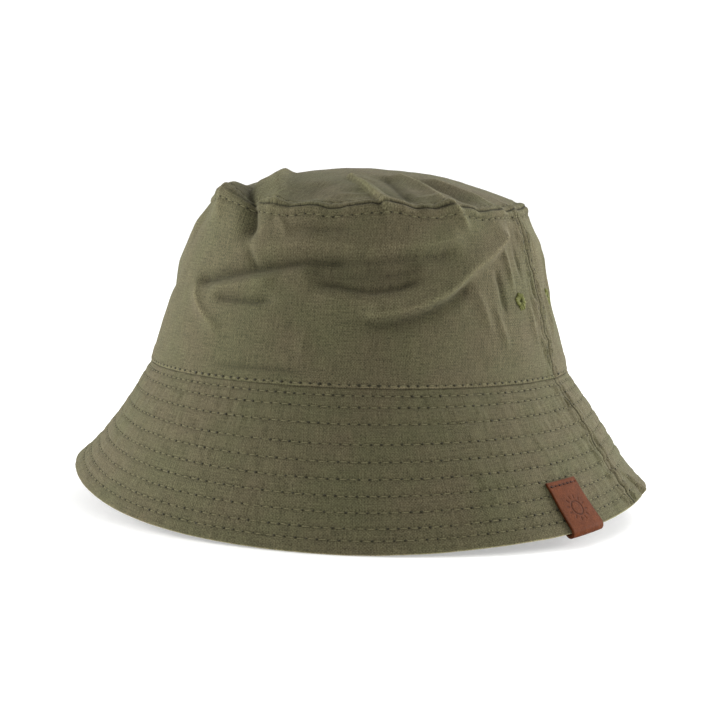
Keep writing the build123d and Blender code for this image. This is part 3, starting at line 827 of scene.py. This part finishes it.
def eyelet_places():
    """Where each eyelet's CAD node lies on the wall, as its angle and mm from the tip seam."""
    places = {}
    for side in ("left", "right"):
        for end in HALVES:
            name = f"eyelet_{side}_{end}"
            x, y, z = middle(name)
            half_x, half_y = wall_oval(z / CROWN_HEIGHT)
            places[name] = (atan2(y / half_y, x / half_x), z - CROWN_HEIGHT)
    return places


EYELETS = eyelet_places()
# Quads nearer an eyelet's middle than EYELET_CUT are left out, and points nearer than
# EYELET_ROOM are pushed aside, which leaves a round hole of radius EYELET_HOLE and more.
EYELET_CUT, EYELET_ROOM, EYELET_HOLE = 1.05, 5.0, 1.75


def wall(half):
    """One panel of the crown's wall, with a hole for each eyelet."""
    low, high, centre = HALVES[half]
    phi = np.linspace(low, high, 380)
    q = spread(-CROWN_HEIGHT, -0.02, 0.95, 0.42, (-CROWN_HEIGHT, -0.4, -TIP_ROW))
    phi, q = np.meshgrid(phi, q)
    keep = np.ones((phi.shape[0] - 1, phi.shape[1] - 1), bool)
    for hole_phi, hole_q in EYELETS.values():
        if abs(angle_gap(hole_phi, centre)) > pi / 2:
            continue
        x, y = (phi - hole_phi) * reach(q), q - hole_q
        gap = np.maximum(np.hypot(x, y), 1e-6)
        corners = gap[:-1, :-1] + gap[1:, :-1] + gap[:-1, 1:] + gap[1:, 1:]
        keep &= corners / 4 >= EYELET_CUT
        outward = EYELET_HOLE + gap * (1 - EYELET_HOLE / EYELET_ROOM)
        wider = np.where(gap < EYELET_ROOM, outward, gap) / gap
        phi, q = hole_phi + x * wider / reach(q), hole_q + y * wider
    cloth = laid((phi - centre) * reach(q), q)
    outer, inner = crown_point(phi, q), crown_point(phi, q, CLOTH)
    piece = shell(f"crown_wall_{half}", outer, inner, cloth, crown_wear_and_painted_light(phi, q), keep=keep)
    dress(piece, cotton, "olive_cloth", f"crown_side_{half}")


def dome(tape):
    """The crown's tip. tape, the tape that binds its seam inside, is not used."""
    phi = np.linspace(-pi, pi, 721)[:-1]
    near_seam = spread(0.02, 12, 0.9, 0.42, (0.4, TIP_ROW))
    q = np.concatenate([near_seam, np.linspace(12.9, DOME_REACH - 0.8, 62)])
    phi, q = np.meshgrid(phi, q)
    # the inner face has every row near the seam, and then every third
    inner_phi, inner_q = (np.concatenate([grid[:16], grid[16::3], grid[-1:]]) for grid in (phi, q))
    outer = crown_point(phi, q)
    inner = crown_point(inner_phi, inner_q, CLOTH)
    cloth = np.concatenate([laid(p[..., 0], p[..., 1]) for p in (outer, inner)])
    piece = shell("crown_dome", outer, inner, cloth, crown_wear_and_painted_light(phi, q), closed=True, capped=True)
    dress(piece, cotton, "olive_cloth", "crown_tip")


# ---------------------------------------------------------------- the brim

def brim_row_stitches(share):
    """How many stitches a brim row has."""
    z = share * edge_mean
    return row_count(oval_length(BASE_X - FLARE_X * z, BASE_Y - FLARE_Y * z))


def brim_wear_and_painted_light(phi, share):
    """A painted highlight on the rolled edge, partly a worn paler edge, and beside the side seams; painted
    shade at the crown, along the rows and in the side seams.
    """
    t = share * BRIM_WIDTH
    # painted shade where the brim meets the crown and along the rows, lighter towards the edge
    tone_and_painted_light = -0.15 * bell(t, 0.6) + 0.06 * bell(t - BRIM_WIDTH, 1.6) - 0.12 * row_bells(t, 0.8)
    # painted highlight on the rolled edge, partly worn paler
    tone_and_painted_light += 2.6 * smooth((t - BRIM_WIDTH + 0.3) / 0.6)
    gap = side_gap(phi, BRIM_RADIUS)
    # painted shade in the side seam's groove, uneven along it, and a painted highlight beside it
    groove_shade_strength = 0.5 + 0.5 * noise(t, gap * 0, 9, 1, 47)
    return tone_and_painted_light - 1.05 * groove_shade_strength * bell(gap, 0.65) + 0.12 * bell(gap - 1.8, 0.8)


def brim_frame(phi, share):
    """The brim's outward normal at a place, and the direction down its slope."""
    normal = surface_normal(brim_smooth, phi, share)
    around = brim_smooth(phi + 1e-3, share) - brim_smooth(phi - 1e-3, share)
    return normal, unit(np.cross(around, normal))


def brim_laid(centre, *grids):
    """The places on the flat cloth of several grids of (angle, share)."""
    return np.concatenate([laid((p - centre) * BRIM_RADIUS, s * BRIM_WIDTH) for p, s in grids])


def brim_top(half):
    """The brim's upper ply, whose edge rolls round to the underside."""
    low, high, centre = HALVES[half]
    angles = np.linspace(low, high, 600)
    rows = [share * BRIM_WIDTH for share in ROW_SHARES]
    shares = spread(0, BRIM_WIDTH - RIM_RADIUS, 0.62, 0.45, rows) / BRIM_WIDTH
    phi, share = np.meshgrid(angles, shares)
    top = brim_point(phi, share)
    edge_phi, edge_share = phi[-1:], share[-1:]
    normal, down = brim_frame(edge_phi, edge_share)
    turns = np.radians(np.arange(15, 196, 15))[:, None, None]
    rim = top[-1:] + RIM_RADIUS * (np.sin(turns) * down - (1 - np.cos(turns)) * normal)
    outer = np.concatenate([top, rim])
    rim_share = share[-1] + turns[:, :, 0] * RIM_RADIUS / BRIM_WIDTH
    all_phi = np.concatenate([phi, np.repeat(edge_phi, len(turns), 0)])
    all_share = np.concatenate([share, rim_share + 0 * edge_phi])
    inner_phi, inner_share = np.meshgrid(angles, np.linspace(0, shares[-1], 24))
    inner = brim_point(inner_phi, inner_share, np.full(inner_phi.shape, CLOTH))
    inner = np.concatenate([inner, outer[-1:] + CLOTH / 2 * normal])
    inner_phi = np.concatenate([inner_phi, edge_phi])
    inner_share = np.concatenate([inner_share, edge_share])
    cloth = brim_laid(centre, (all_phi, all_share), (inner_phi, inner_share))
    piece = shell(f"brim_upper_{half}", outer, inner, cloth, brim_wear_and_painted_light(all_phi, all_share))
    dress(piece, cotton, "olive_cloth", f"brim_top_{half}")


def brim_sheet(name, half, depths, shares, steps, slot, node):
    """A plain ply of the brim between two depths under its upper face. Its upper side, which
    is hidden, has every sixth row of points."""
    low, high, centre = HALVES[half]
    phi, share = np.meshgrid(np.linspace(low, high, steps[0]), np.linspace(*shares, steps[1]))
    inner_phi, inner_share = phi[::6], share[::6]
    top, bottom = depths
    outer = brim_point(phi, share, np.full(phi.shape, bottom))
    inner = brim_point(inner_phi, inner_share, np.full(inner_phi.shape, top))
    cloth = brim_laid(centre, (phi, share), (inner_phi, inner_share))
    piece = shell(name, outer, inner, cloth, under_wear_and_painted_light(phi, share))
    dress(piece, lining, slot, node)


def under_wear_and_painted_light(phi, share):
    """Painted shade along the rows of stitching and in the side seams, and lighter towards the edge, on
    the underside.
    """
    t = share * BRIM_WIDTH
    gap = side_gap(phi, BRIM_RADIUS)
    tone_and_painted_light = -0.5 * bell(gap, 0.5) + 0.1 * bell(t - BRIM_WIDTH, 2)
    return tone_and_painted_light - 0.18 * row_bells(t, 0.8)


# ---------------------------------------------------------------- thread

STITCH_DEPTH, HOLE_CORNERS = 0.32, 8


def thread_row(curve, count, radius=THREAD_RADIUS, gap=0.2, lift=0.17, pit=0.52, seed=1):
    """Separate stitches along a curve, which gives points and normals at stitch numbers. gap
    is the share of the pitch left between two stitches, lift is how far one stands out, and
    pit is the needle holes' size. Gives a mesh's points, faces, cloth and tone, the tone
    being painted shade where each stitch dives into the cloth and on each needle hole."""
    random = np.random.default_rng(seed)
    stations, sides = 8, 6
    share = np.linspace(0, 1, stations)
    number = np.arange(count)[:, None] + gap / 2 + (1 - gap) * share[None, :]
    points, normals = curve(number)
    side = unit(np.cross(normals, unit(curve(number + 0.02)[0] - points)))
    arch = np.sin(pi * share) ** 0.6
    sway = random.normal(0, 0.07, (count, 1)) + random.normal(0, 0.12, (count, 1)) * (share - 0.5)[None, :]
    rise = lift + STITCH_DEPTH + random.normal(0, 0.03, (count, 1))
    height = rise * arch[None, :] - STITCH_DEPTH
    centre = points + side * sway[..., None] + normals * height[..., None]
    thick = radius * (0.62 + 0.38 * arch)[None, :] * random.normal(1, 0.05, (count, 1))
    turn, thick = full_turn(sides), thick[..., None]
    ring = centre[:, :, None] + side[:, :, None] * (np.cos(turn) * thick * 1.12)[..., None]
    ring = ring + normals[:, :, None] * (np.sin(turn) * thick * 0.85)[..., None]
    faces = []
    for i in range(count):
        start = i * stations * sides
        faces += grid_faces(stations, sides, start, closed=True)
        faces.append(list(range(start, start + sides)))
        faces.append(list(range(start + (stations - 1) * sides, start + stations * sides))[::-1])
    along = np.broadcast_to((number * STITCH_PITCH)[..., None], ring.shape[:3])
    cloth = laid(along, np.broadcast_to(turn, along.shape))
    # painted shade on each stitch's ends, where it dives into the cloth
    dark = np.broadcast_to((-0.55 * (1 - arch) ** 1.5)[None, :, None], along.shape)
    hole_shade_points, hole_shade_faces = needle_hole_shades(curve, count, pit, random, ring.size // 3)
    cloth = np.concatenate([cloth, hole_shade_points * 0])
    # the needle holes' lenses carry painted shade
    dark = np.concatenate([dark.ravel(), np.full(len(hole_shade_points), -0.8)])
    return np.concatenate([ring.reshape(-1, 3), hole_shade_points]), faces + hole_shade_faces, cloth, dark


def needle_hole_shades(curve, count, size, random, start):
    """A thin dark lens between two stitches: painted shade over the hollow of each needle hole."""
    number = np.arange(count)[:, None] + random.normal(0, 0.012, (count, 1))
    points, normals = (grid[:, 0] for grid in curve(number))
    ahead = unit(curve(number + 0.02)[0][:, 0] - points)
    side = np.cross(normals, ahead)
    turn = full_turn(HOLE_CORNERS)[:, None]
    wide = size * random.uniform(0.6, 1.2, (count, 1, 1))
    rim = ahead[:, None] * (np.cos(turn) * wide) * 1.15
    rim = rim + side[:, None] * (np.sin(turn) * wide) * 0.9
    rim = rim + (points + normals * 0.11)[:, None]
    ends = np.stack([points + normals * 0.17, points - normals * 0.1], 1)
    places = np.concatenate([rim, ends], 1)
    faces = []
    for i in range(count):
        first = start + i * (HOLE_CORNERS + 2)
        top, bottom = first + HOLE_CORNERS, first + HOLE_CORNERS + 1
        for j in range(HOLE_CORNERS):
            a, b = first + j, first + (j + 1) % HOLE_CORNERS
            faces += [[a, b, top], [b, a, bottom]]
    return places.reshape(-1, 3), faces


def join_rows(name, rows, material, slot, node):
    """One piece from several rows of stitches."""
    points, row_faces, cloth, tone_and_painted_light = zip(*rows)
    faces, count = [], 0
    for row_points, own in zip(points, row_faces):
        faces += [[v + count for v in face] for face in own]
        count += len(row_points)
    points, cloth, tone_and_painted_light = (np.concatenate(parts) for parts in (points, cloth, tone_and_painted_light))
    piece = new_mesh(name, points, faces, cloth, tone_and_painted_light)
    dress(piece, material, slot, node)


def crown_curve(count, q):
    """A level row round the crown, as thread_row wants it."""

    def curve(number):
        phi = number / count * tau
        distance = np.full(phi.shape, q)
        _, out = crown_smooth(phi, distance)
        return crown_point(phi, distance), out

    return curve


def brim_curve(count, share, under=0.0):
    """A row round the brim, on its upper face or under it."""

    def curve(number):
        phi = number / count * tau
        place = np.full(phi.shape, share)
        normal = surface_normal(brim_smooth, phi, place)
        depth = np.full(phi.shape, under)
        return brim_point(phi, place, depth), -normal if under else normal

    return curve


def side_curve(angle, offset, first):
    """A row down the wall beside a side seam."""

    def curve(number):
        q = first - number * STITCH_PITCH
        phi = angle + offset / reach(q)
        _, out = crown_smooth(phi, q)
        return crown_point(phi, q), out

    return curve


def stitching():
    """Every row of thread on the hat."""
    for number, share in zip(ROW_NUMBERS, ROW_SHARES):
        count = brim_row_stitches(share)
        under = brim_curve(count, share, BRIM_THICKNESS)
        rows = [
            thread_row(brim_curve(count, share), count, seed=100 + number),
            thread_row(under, count, lift=0.12, seed=200 + number),
        ]
        node = f"brim_stitch_row_{number:02d}"
        join_rows(f"brim_row_{number:02d}_thread", rows, olive_thread, "olive_thread", node)
    # piece, stitches, mm from the tip seam, CAD node, size of the needle holes and seed
    base_q = BASE_ROW - CROWN_HEIGHT
    crown_rows = (
        ("tip_row_upper_thread", DOME_ROW_STITCHES, TIP_ROW, "tip_topstitch_upper", 0.5, 301),
        ("tip_row_lower_thread", WALL_ROW_STITCHES, -TIP_ROW, "tip_topstitch_lower", 0.5, 302),
        ("crown_base_thread", BASE_ROW_STITCHES, base_q, "crown_base_topstitch", 0.72, 303),
    )
    for name, count, q, node, pit, seed in crown_rows:
        sizes = {"gap": 0.6 * pit, "lift": 0.2 - 0.08 * pit, "pit": pit}
        row = thread_row(crown_curve(count, q), count, seed=seed, **sizes)
        join_rows(name, [row], olive_thread, "olive_thread", node)
    count = int((CROWN_HEIGHT - TIP_ROW - BASE_ROW) / STITCH_PITCH) - 1
    for side, angle in (("left", 0.0), ("right", pi)):
        rows = []
        for offset in (-SIDE_ROW, SIDE_ROW):
            curve = side_curve(angle, offset, -TIP_ROW - 3)
            rows.append(thread_row(curve, count, seed=304 + round(angle) + round(offset)))
        node = f"side_seam_topstitch_{side}"
        join_rows(f"side_seam_thread_{side}", rows, olive_thread, "olive_thread", node)


for half in HALVES:
    wall(half)
    brim_top(half)
    under, core = f"brim_under_{half}", f"brim_interlining_{half}"
    depths = (BRIM_THICKNESS - CLOTH, BRIM_THICKNESS)
    brim_sheet(f"brim_lower_{half}", half, depths, (0, 0.975), (420, 100), "olive_cloth", under)
    brim_sheet(f"brim_core_{half}", half, (0.62, 1.15), (0.03, 0.965), (160, 25), "interlining", core)
stitching()


# ---------------------------------------------------------------- inside the hat

def band_inside(name, node, depth, thick, low, high, rows, material, slot, wave=0.0):
    """A band of cloth round the inside of the wall, depth mm under the wall's face, from low
    to high mm above the brim. wave is how far it stands off the wall in places."""
    heights = np.linspace(low, high, rows)
    phi, q = np.meshgrid(np.linspace(-pi, pi, 481)[:-1], heights - CROWN_HEIGHT)
    loop = tau * BAND_RADIUS
    own = wave * noise(phi * BAND_RADIUS, q, 17, 40, 61, loop) * smooth((q + CROWN_HEIGHT - low) / 20)
    rise = (q - q.min()) / (q.max() - q.min())
    # its upper and lower edges are rounded
    ends = 0.45 * thick * (1 - np.sqrt(1 - np.clip(abs(rise - 0.5) * 2 * 1.06 - 0.06, 0, 1) ** 8))
    outer = crown_point(phi, q, depth + ends + own + 0.25 * wave, plain=True)
    inner = crown_point(phi, q, depth + thick - ends + own + 0.25 * wave, plain=True)
    tone_and_painted_light = -0.25 * bell(q - q.max() + 2.2, 0.5) + 0.08 * bell(q - q.max(), 0.8)
    piece = shell(name, outer, inner, laid(phi * BAND_RADIUS, q), tone_and_painted_light, closed=True, alike=True)
    return dress(piece, material, slot, node)


def side_tape(side, angle):
    """The tape that covers a side seam inside the wall."""
    low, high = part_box(f"side_seam_tape_{side}")
    half_width = (high.y - low.y) / 2 / MM
    heights = np.linspace(low.z, high.z, 60) / MM
    across, q = np.meshgrid(np.linspace(-half_width, half_width, 25), heights - CROWN_HEIGHT)
    phi = angle + across / reach(q)
    ends = 0.12 * smooth((abs(across) - half_width + 0.8) / 0.8)
    outer = crown_point(phi, q, 0.65 + ends, plain=True)
    inner = crown_point(phi, q, 1.15 + 0.12 * noise(q, across, 9, 30, 62), plain=True)
    tone_and_painted_light = -0.3 * bell(abs(across) - half_width + 1.4, 0.35)
    piece = shell(f"side_tape_{side}", outer, inner, laid(across, q), tone_and_painted_light, alike=True)
    dress(piece, tape_cotton, "seam_tape", f"side_seam_tape_{side}")


LABEL_LENGTH = 34.0


def care_label():
    """The blank satin label, whose folded top is caught under the tape at the back."""
    low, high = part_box("care_label")
    width, top, bottom = (high.x - low.x) / MM, high.z / MM, low.z / MM
    face = (low.y + high.y) / 2 / MM
    across, down = np.meshgrid(np.linspace(-width / 2, width / 2, 41), np.linspace(0, 1, 60))
    curl = -0.9 * np.sin(down * pi * 1.3) * smooth(down * 3) - 0.5 * (across / width) * down
    curl += 0.25 * noise(across, down * 30, 9, 11, 63) * smooth(down * 3)
    z = top - 0.1 - down * (top - bottom - 0.4)
    bead = 0.3 * bell(down, 0.02)
    sides = [np.stack([across, face + curl + s * (0.17 + bead), z], -1) for s in (1, -1)]
    edge = bell(abs(across) - width / 2, 0.5) + bell(down - 1, 0.02)
    cloth = laid(across, down * LABEL_LENGTH)
    piece = shell("care_label_ribbon", *sides, cloth, -0.2 * edge, body=FLAP, alike=True)
    dress(piece, satin, "white_satin", "care_label")


# ---------------------------------------------------------------- eyelets and leather tab

FACE_POINTS = 11


def eyelet(name, place):
    """A satin-stitched eyelet: threads side by side that wrap the hole's edge."""
    phi, q = (np.array(v) for v in place)
    # its middle, and its own axes: ahead round the hat, up the wall, and out of it
    point = crown_point(phi, q, plain=True)
    ahead = unit(crown_point(phi + 0.01, q, plain=True) - point)
    out = unit(np.cross(ahead, crown_point(phi, q + 1, plain=True) - point))
    up = np.cross(out, ahead)
    random = np.random.default_rng(int(abs(point).sum()))
    threads, per_thread = 30, 6
    count = threads * per_thread
    turn = full_turn(count)
    # The clamp-shaped section, as (radius, height) points: eleven on its face, from the outer
    # edge through the hole to the back, and six along the gap that the cloth's edge sits in.
    section = [(3.5, -0.1), (3.45, 0.3), (3.0, 0.58), (2.3, 0.66), (1.5, 0.5), (0.65, 0.15), (0.4, -0.3)]
    section += [(0.65, -0.8), (1.5, -1.1), (2.3, -1.12), (2.9, -0.9), (2.95, -0.6), (2.4, -0.56)]
    section += [(1.8, -0.5), (1.62, -0.25), (1.8, -0.02), (2.6, 0.02)]
    radius, height = np.array(section).T
    ridge = abs(np.sin(turn * threads / 2)) ** 0.7
    uneven = np.repeat(random.normal(0, 0.26, threads), per_thread)
    outside = (np.arange(len(section)) < FACE_POINTS)[:, None]
    mid_radius, mid_height = 2.2, -0.25
    swell = 1 + outside * (0.2 * ridge - 0.1)[None, :]
    radius, height = radius[:, None], height[:, None]
    r = mid_radius + (radius - mid_radius) * swell + (radius > 2.8) * uneven[None, :]
    r = r + (radius < 1) * 0.5 * uneven[None, ::-1]
    rise = np.repeat(random.normal(1, 0.16, threads), per_thread)
    h = mid_height + (height - mid_height) * swell * np.where(height > 0, rise, 1.0)
    level = np.cos(turn)[:, None] * ahead + np.sin(turn)[:, None] * up
    ring = point + r[..., None] * level + h[..., None] * out
    faces = grid_faces(len(section), count, 0, closed=True)
    last = (len(section) - 1) * count
    faces += [[last + j, last + (j + 1) % count, (j + 1) % count, j] for j in range(count)]
    cloth = laid(r, np.broadcast_to(turn * threads, r.shape))
    # painted highlight on each thread's ridge and painted shade between threads and in the hole
    tone_and_painted_light = outside * (0.6 * ridge - 0.4)[None, :] - 0.5 * (radius < 1.2)
    piece = new_mesh(f"{name}_ring", ring.reshape(-1, 3), faces, cloth, tone_and_painted_light.ravel())
    dress(piece, eyelet_thread, "eyelet_thread", name)


# the tab's ends on the brim's face and inside, where it turns, and its leather and stitches
TAB_TOP, TAB_BACK = 44.2, 46.0
TAB_TURN = BRIM_WIDTH - RIM_RADIUS
TAB_BEND = RIM_RADIUS + 0.5
TAB_WIDTH, LEATHER, SIDE_ROUND, TAB_PRESS = 19.0, 1.15, 0.35, 0.35
TAB_ARC = pi * (TAB_BEND + LEATHER / 2)
TAB_STITCHES, TAB_PITCH, TAB_SEAM = 6, 2.6, 2.1


def tab_angle(t):
    """The tab's middle line: its angle at t mm down the brim."""
    return np.radians(-21.6 + 0.9 * (t - TAB_TOP) / (BRIM_WIDTH - TAB_TOP))


def strap_point(path, offset, depth):
    """A point of the tab, path mm from its top round the brim's edge to its end inside,
    offset mm from its middle line, depth mm under its outer face."""
    leg = TAB_TURN - TAB_TOP
    theta = np.clip((path - leg) / TAB_ARC, 0, 1) * pi
    t = np.where(path < leg, TAB_TOP + path, TAB_TURN - np.maximum(path - leg - TAB_ARC, 0))
    share = t / BRIM_WIDTH
    phi = tab_angle(t) + offset / EDGE_RADIUS
    normal, down = brim_frame(phi, share)
    base = brim_smooth(phi, share) + normal * (brim_wave(phi, share) - RIM_RADIUS)[..., None]
    lift = 0.15 * smooth(path / 3) + 0.25 * smooth((path - 12) / 12)
    size = TAB_BEND - TAB_PRESS + lift + LEATHER - depth
    base = base + normal * (np.cos(theta) * size)[..., None]
    return base + down * (np.sin(theta) * size * 1.15)[..., None]


def ink(path, offset):
    """The tab's plain sun mark: how much each place is pressed in and darkened."""
    x, y = offset, path - 13.0
    radius, turn = np.hypot(x, y), np.arctan2(y, x)
    ring = bell(radius - 3.0, 0.3)
    spoke = abs((turn / tau * 12) % 1 - 0.5) * tau * radius / 12
    rays = bell(spoke, 0.27) * smooth((radius - 3.9) / 0.3) * smooth((5.9 - radius) / 0.3)
    return np.clip(ring + rays, 0, 1)


def leather_tab():
    """The leather strap folded over the brim's edge, and the stitches that hold it."""
    half = TAB_WIDTH / 2
    flat_half = half - SIDE_ROUND
    length = TAB_TURN - TAB_TOP + TAB_ARC + TAB_TURN - TAB_BACK
    # the strap's section, as (offset, depth): its face, a round side, its back, the other side
    corner = np.radians(np.arange(15, 166, 25))
    side = [(flat_half + SIDE_ROUND * sin(a), LEATHER / 2 * (1 - cos(a))) for a in corner]
    section = [(x, 0.0) for x in np.linspace(-flat_half, flat_half, 84)] + side
    section += [(x, LEATHER) for x in np.linspace(flat_half, -flat_half, 24)]
    section += [(-x, d) for x, d in side[::-1]]
    offset, depth = np.array(section).T
    # steps along the strap, and how thin it is pressed at its two ends
    path = np.concatenate([
        [0, 0.12, 0.35], np.linspace(0.7, 22, 84), np.linspace(22.3, length - 0.7, 60),
        [length - 0.3, length],
    ])
    squeeze = 1 - np.array([0.55, 0.25, 0.08] + [0.0] * (len(path) - 6) + [0.1, 0.3, 0.6])
    uneven = 0.12 * noise(path, 0 * path, 7, 1, 64)
    paths = np.broadcast_to(path[:, None], (len(path), len(offset)))
    depths = LEATHER / 2 + (depth - LEATHER / 2)[None, :] * squeeze[:, None]
    offsets = offset[None, :] + uneven[:, None] * np.sign(offset)[None, :]
    front = (depths < 0.3) & (abs(offsets) < half - 0.2)
    mark = ink(paths, offsets) * front
    from_hole = ((offsets / TAB_PITCH + 0.5) % 1 - 0.5) * TAB_PITCH
    holes = bell(paths - TAB_SEAM, 0.5) * bell(from_hole, 0.5) * front
    holes = holes * (abs(offsets) < (TAB_STITCHES / 2 + 0.4) * TAB_PITCH)
    pressed = 0.16 * mark + 0.3 * holes + 0.1 * bell(paths - TAB_SEAM, 0.8) * front
    points = strap_point(paths, offsets, depths + pressed)
    faces = grid_faces(len(path), len(offset), 0, closed=True)
    faces.append(list(range(len(offset)))[::-1])
    faces.append([(len(path) - 1) * len(offset) + j for j in range(len(offset))])
    cut_side = (depths > 0.25) & (abs(offsets) > flat_half - 0.01)
    edge = bell(half - abs(offsets), 0.5) + 0.6 * cut_side
    # darker: the mark's print, painted shade in the stitch holes, the cut edges, and towards the pressed
    # ends
    tone_and_painted_light = -0.62 * mark - 0.6 * holes - 0.35 * np.clip(edge, 0, 1) - 0.2 * (1 - squeeze)[:, None]
    cloth = laid(offsets, paths, depths)
    piece = new_mesh("tab_strap", points.reshape(-1, 3), faces, cloth, tone_and_painted_light.ravel())
    dress(piece, leather, "brown_leather", "leather_tab")

    def curve(number):
        places = (number - TAB_STITCHES / 2) * TAB_PITCH
        at = strap_point(np.full(places.shape, TAB_SEAM), places, np.full(places.shape, 0.1))
        phi = tab_angle(TAB_TOP + TAB_SEAM) + places / EDGE_RADIUS
        share = np.full(phi.shape, (TAB_TOP + TAB_SEAM) / BRIM_WIDTH)
        return at, surface_normal(brim_smooth, phi, share)

    row = thread_row(curve, TAB_STITCHES, radius=0.17, gap=0.4, lift=0.1, pit=0.5, seed=401)
    join_rows("tab_thread", [row], dark_thread, "brown_thread", "leather_tab_stitches")


dark_thread = thread_material("brown_waxed_thread", (0.075, 0.03, 0.018))
eyelet_thread = thread_material("eyelet_satin_thread", (0.12, 0.125, 0.04), twist=40.0)
tape_cotton = cloth_material("seam_tape_cotton", tuple(c * 0.8 for c in OLIVE), weave=0.5)
band_cotton = cloth_material("sweatband_twill", tuple(c * 1.05 for c in OLIVE), slub=0.5, weave=0.5)
satin = cloth_material("label_satin", (0.72, 0.71, 0.68), slub=0.15, weave=0.3, fuzz=0.05)
leather = leather_material("tanned_leather", (0.089, 0.0247, 0.0075))
band = band_inside(
    "sweatband_band", "sweatband", 2.7, 0.7, 0.3, 23.9, 34, band_cotton, "sweatband_cotton", 0.25
)
tape = band_inside("tip_tape", "tip_seam_tape", 1.3, 0.5, 66.3, 74.0, 14, tape_cotton, "seam_tape")
dome(tape)
side_tape("left", 0.0)
side_tape("right", pi)
care_label()
for name, place in EYELETS.items():
    eyelet(name, place)
leather_tab()


# ---------------------------------------------------------------- stage, light and camera

FLOOR_RADIUS, CORNER_RADIUS, WALL_HEIGHT = 1800.0, 700.0, 2600.0


def studio():
    """A pale floor that glows faintly, as a light table does, and curves up into a round wall."""
    floor_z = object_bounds()[0].z / MM
    corner = [
        (FLOOR_RADIUS + CORNER_RADIUS * sin(turn), CORNER_RADIUS * (1 - cos(turn)))
        for turn in np.radians(np.arange(10, 91, 10))
    ]
    profile = [(FLOOR_RADIUS / 2, 0.0), (FLOOR_RADIUS, 0.0), *corner]
    profile.append((FLOOR_RADIUS + CORNER_RADIUS, WALL_HEIGHT))
    columns = 96
    phi, (r, z) = full_turn(columns), np.array(profile).T[..., None]
    points = np.stack([r * np.cos(phi), r * np.sin(phi), floor_z + z + 0 * phi], -1).reshape(-1, 3)
    faces = grid_faces(len(profile), columns, 0, closed=True) + [list(range(columns))[::-1]]
    mesh = bpy.data.meshes.new("studio_floor")
    mesh.from_pydata((points * MM).tolist(), [], faces)
    mesh.polygons.foreach_set("use_smooth", [True] * len(mesh.polygons))
    floor = bpy.data.objects.new("studio_floor", mesh)
    bpy.context.scene.collection.objects.link(floor)
    n = Nodes("pale_floor")
    speckle = n.noise(n.add("ShaderNodeTexCoord").outputs["Object"], 3.0, 2.0)
    paper = n.mix(speckle, colour((0.6, 0.6, 0.597)), colour((0.62, 0.62, 0.617)))
    n.feed(n.shader.inputs["Base Color"], paper)
    # the floor glows faintly and so lights the hat from below
    n.fixed(Emission_Color=(1, 1, 1, 1), Emission_Strength=0.4, Roughness=0.9)
    floor.data.materials.append(n.material)


def aim(thing, target):
    """Turns a light or camera to look at a point, with its own Z axis backwards."""
    away = thing.location - Vector(target)
    thing.rotation_mode = "QUATERNION"
    thing.rotation_quaternion = away.to_track_quat("Z", "Y")


CAMERA_AZIMUTH, CAMERA_ELEVATION, CAMERA_ROLL = radians(24.0), radians(5.2), radians(1.79)
CAMERA_LENS, SENSOR_WIDTH, CAMERA_DISTANCE = 110.35, 36.0, 1.0
MIDDLE = Vector((0, 0, 0.02))


def seen_from(azimuth, elevation, distance):
    """A place at a distance in metres, by azimuth from the camera's side."""
    turn = CAMERA_AZIMUTH + azimuth
    level = cos(elevation)
    return Vector((sin(turn) * level, -cos(turn) * level, sin(elevation))) * distance


def light(name, azimuth, elevation, distance, size, power):
    """A soft square light that looks at the hat."""
    lamp = bpy.data.lights.new(name, "AREA")
    lamp.shape = "RECTANGLE"
    lamp.size, lamp.size_y = size
    lamp.energy = power
    holder = bpy.data.objects.new(name, lamp)
    bpy.context.scene.collection.objects.link(holder)
    holder.location = seen_from(radians(azimuth), radians(elevation), distance)
    holder.visible_camera = False
    aim(holder, MIDDLE)


def lights_and_camera():
    """Soft lights at both sides and behind, white air, and the camera."""
    light("softbox_left", -98, 9, 1.4, (0.9, 0.9), 37)
    light("softbox_right", 104, 9, 1.4, (0.9, 0.9), 33.5)
    light("softbox_top", 142, 47, 1.5, (0.9, 0.7), 16)
    world = bpy.data.worlds.new("studio_air")
    world.use_nodes = True
    world.node_tree.nodes["Background"].inputs[0].default_value = (1, 1, 1, 1)
    world.node_tree.nodes["Background"].inputs[1].default_value = 0.52
    scene = bpy.context.scene
    scene.world = world
    scene.view_settings.view_transform = "Standard"
    lens = bpy.data.cameras.new("camera")
    lens.sensor_width = SENSOR_WIDTH
    lens.lens = CAMERA_LENS
    camera = bpy.data.objects.new("camera", lens)
    scene.collection.objects.link(camera)
    camera.location = seen_from(0, CAMERA_ELEVATION, CAMERA_DISTANCE) + MIDDLE
    aim(camera, (0, 0, 0.0012))
    level = camera.rotation_quaternion.to_matrix()
    camera.rotation_quaternion = (level @ Matrix.Rotation(CAMERA_ROLL, 3, "Z")).to_quaternion()
    scene.camera = camera


studio()
lights_and_camera()
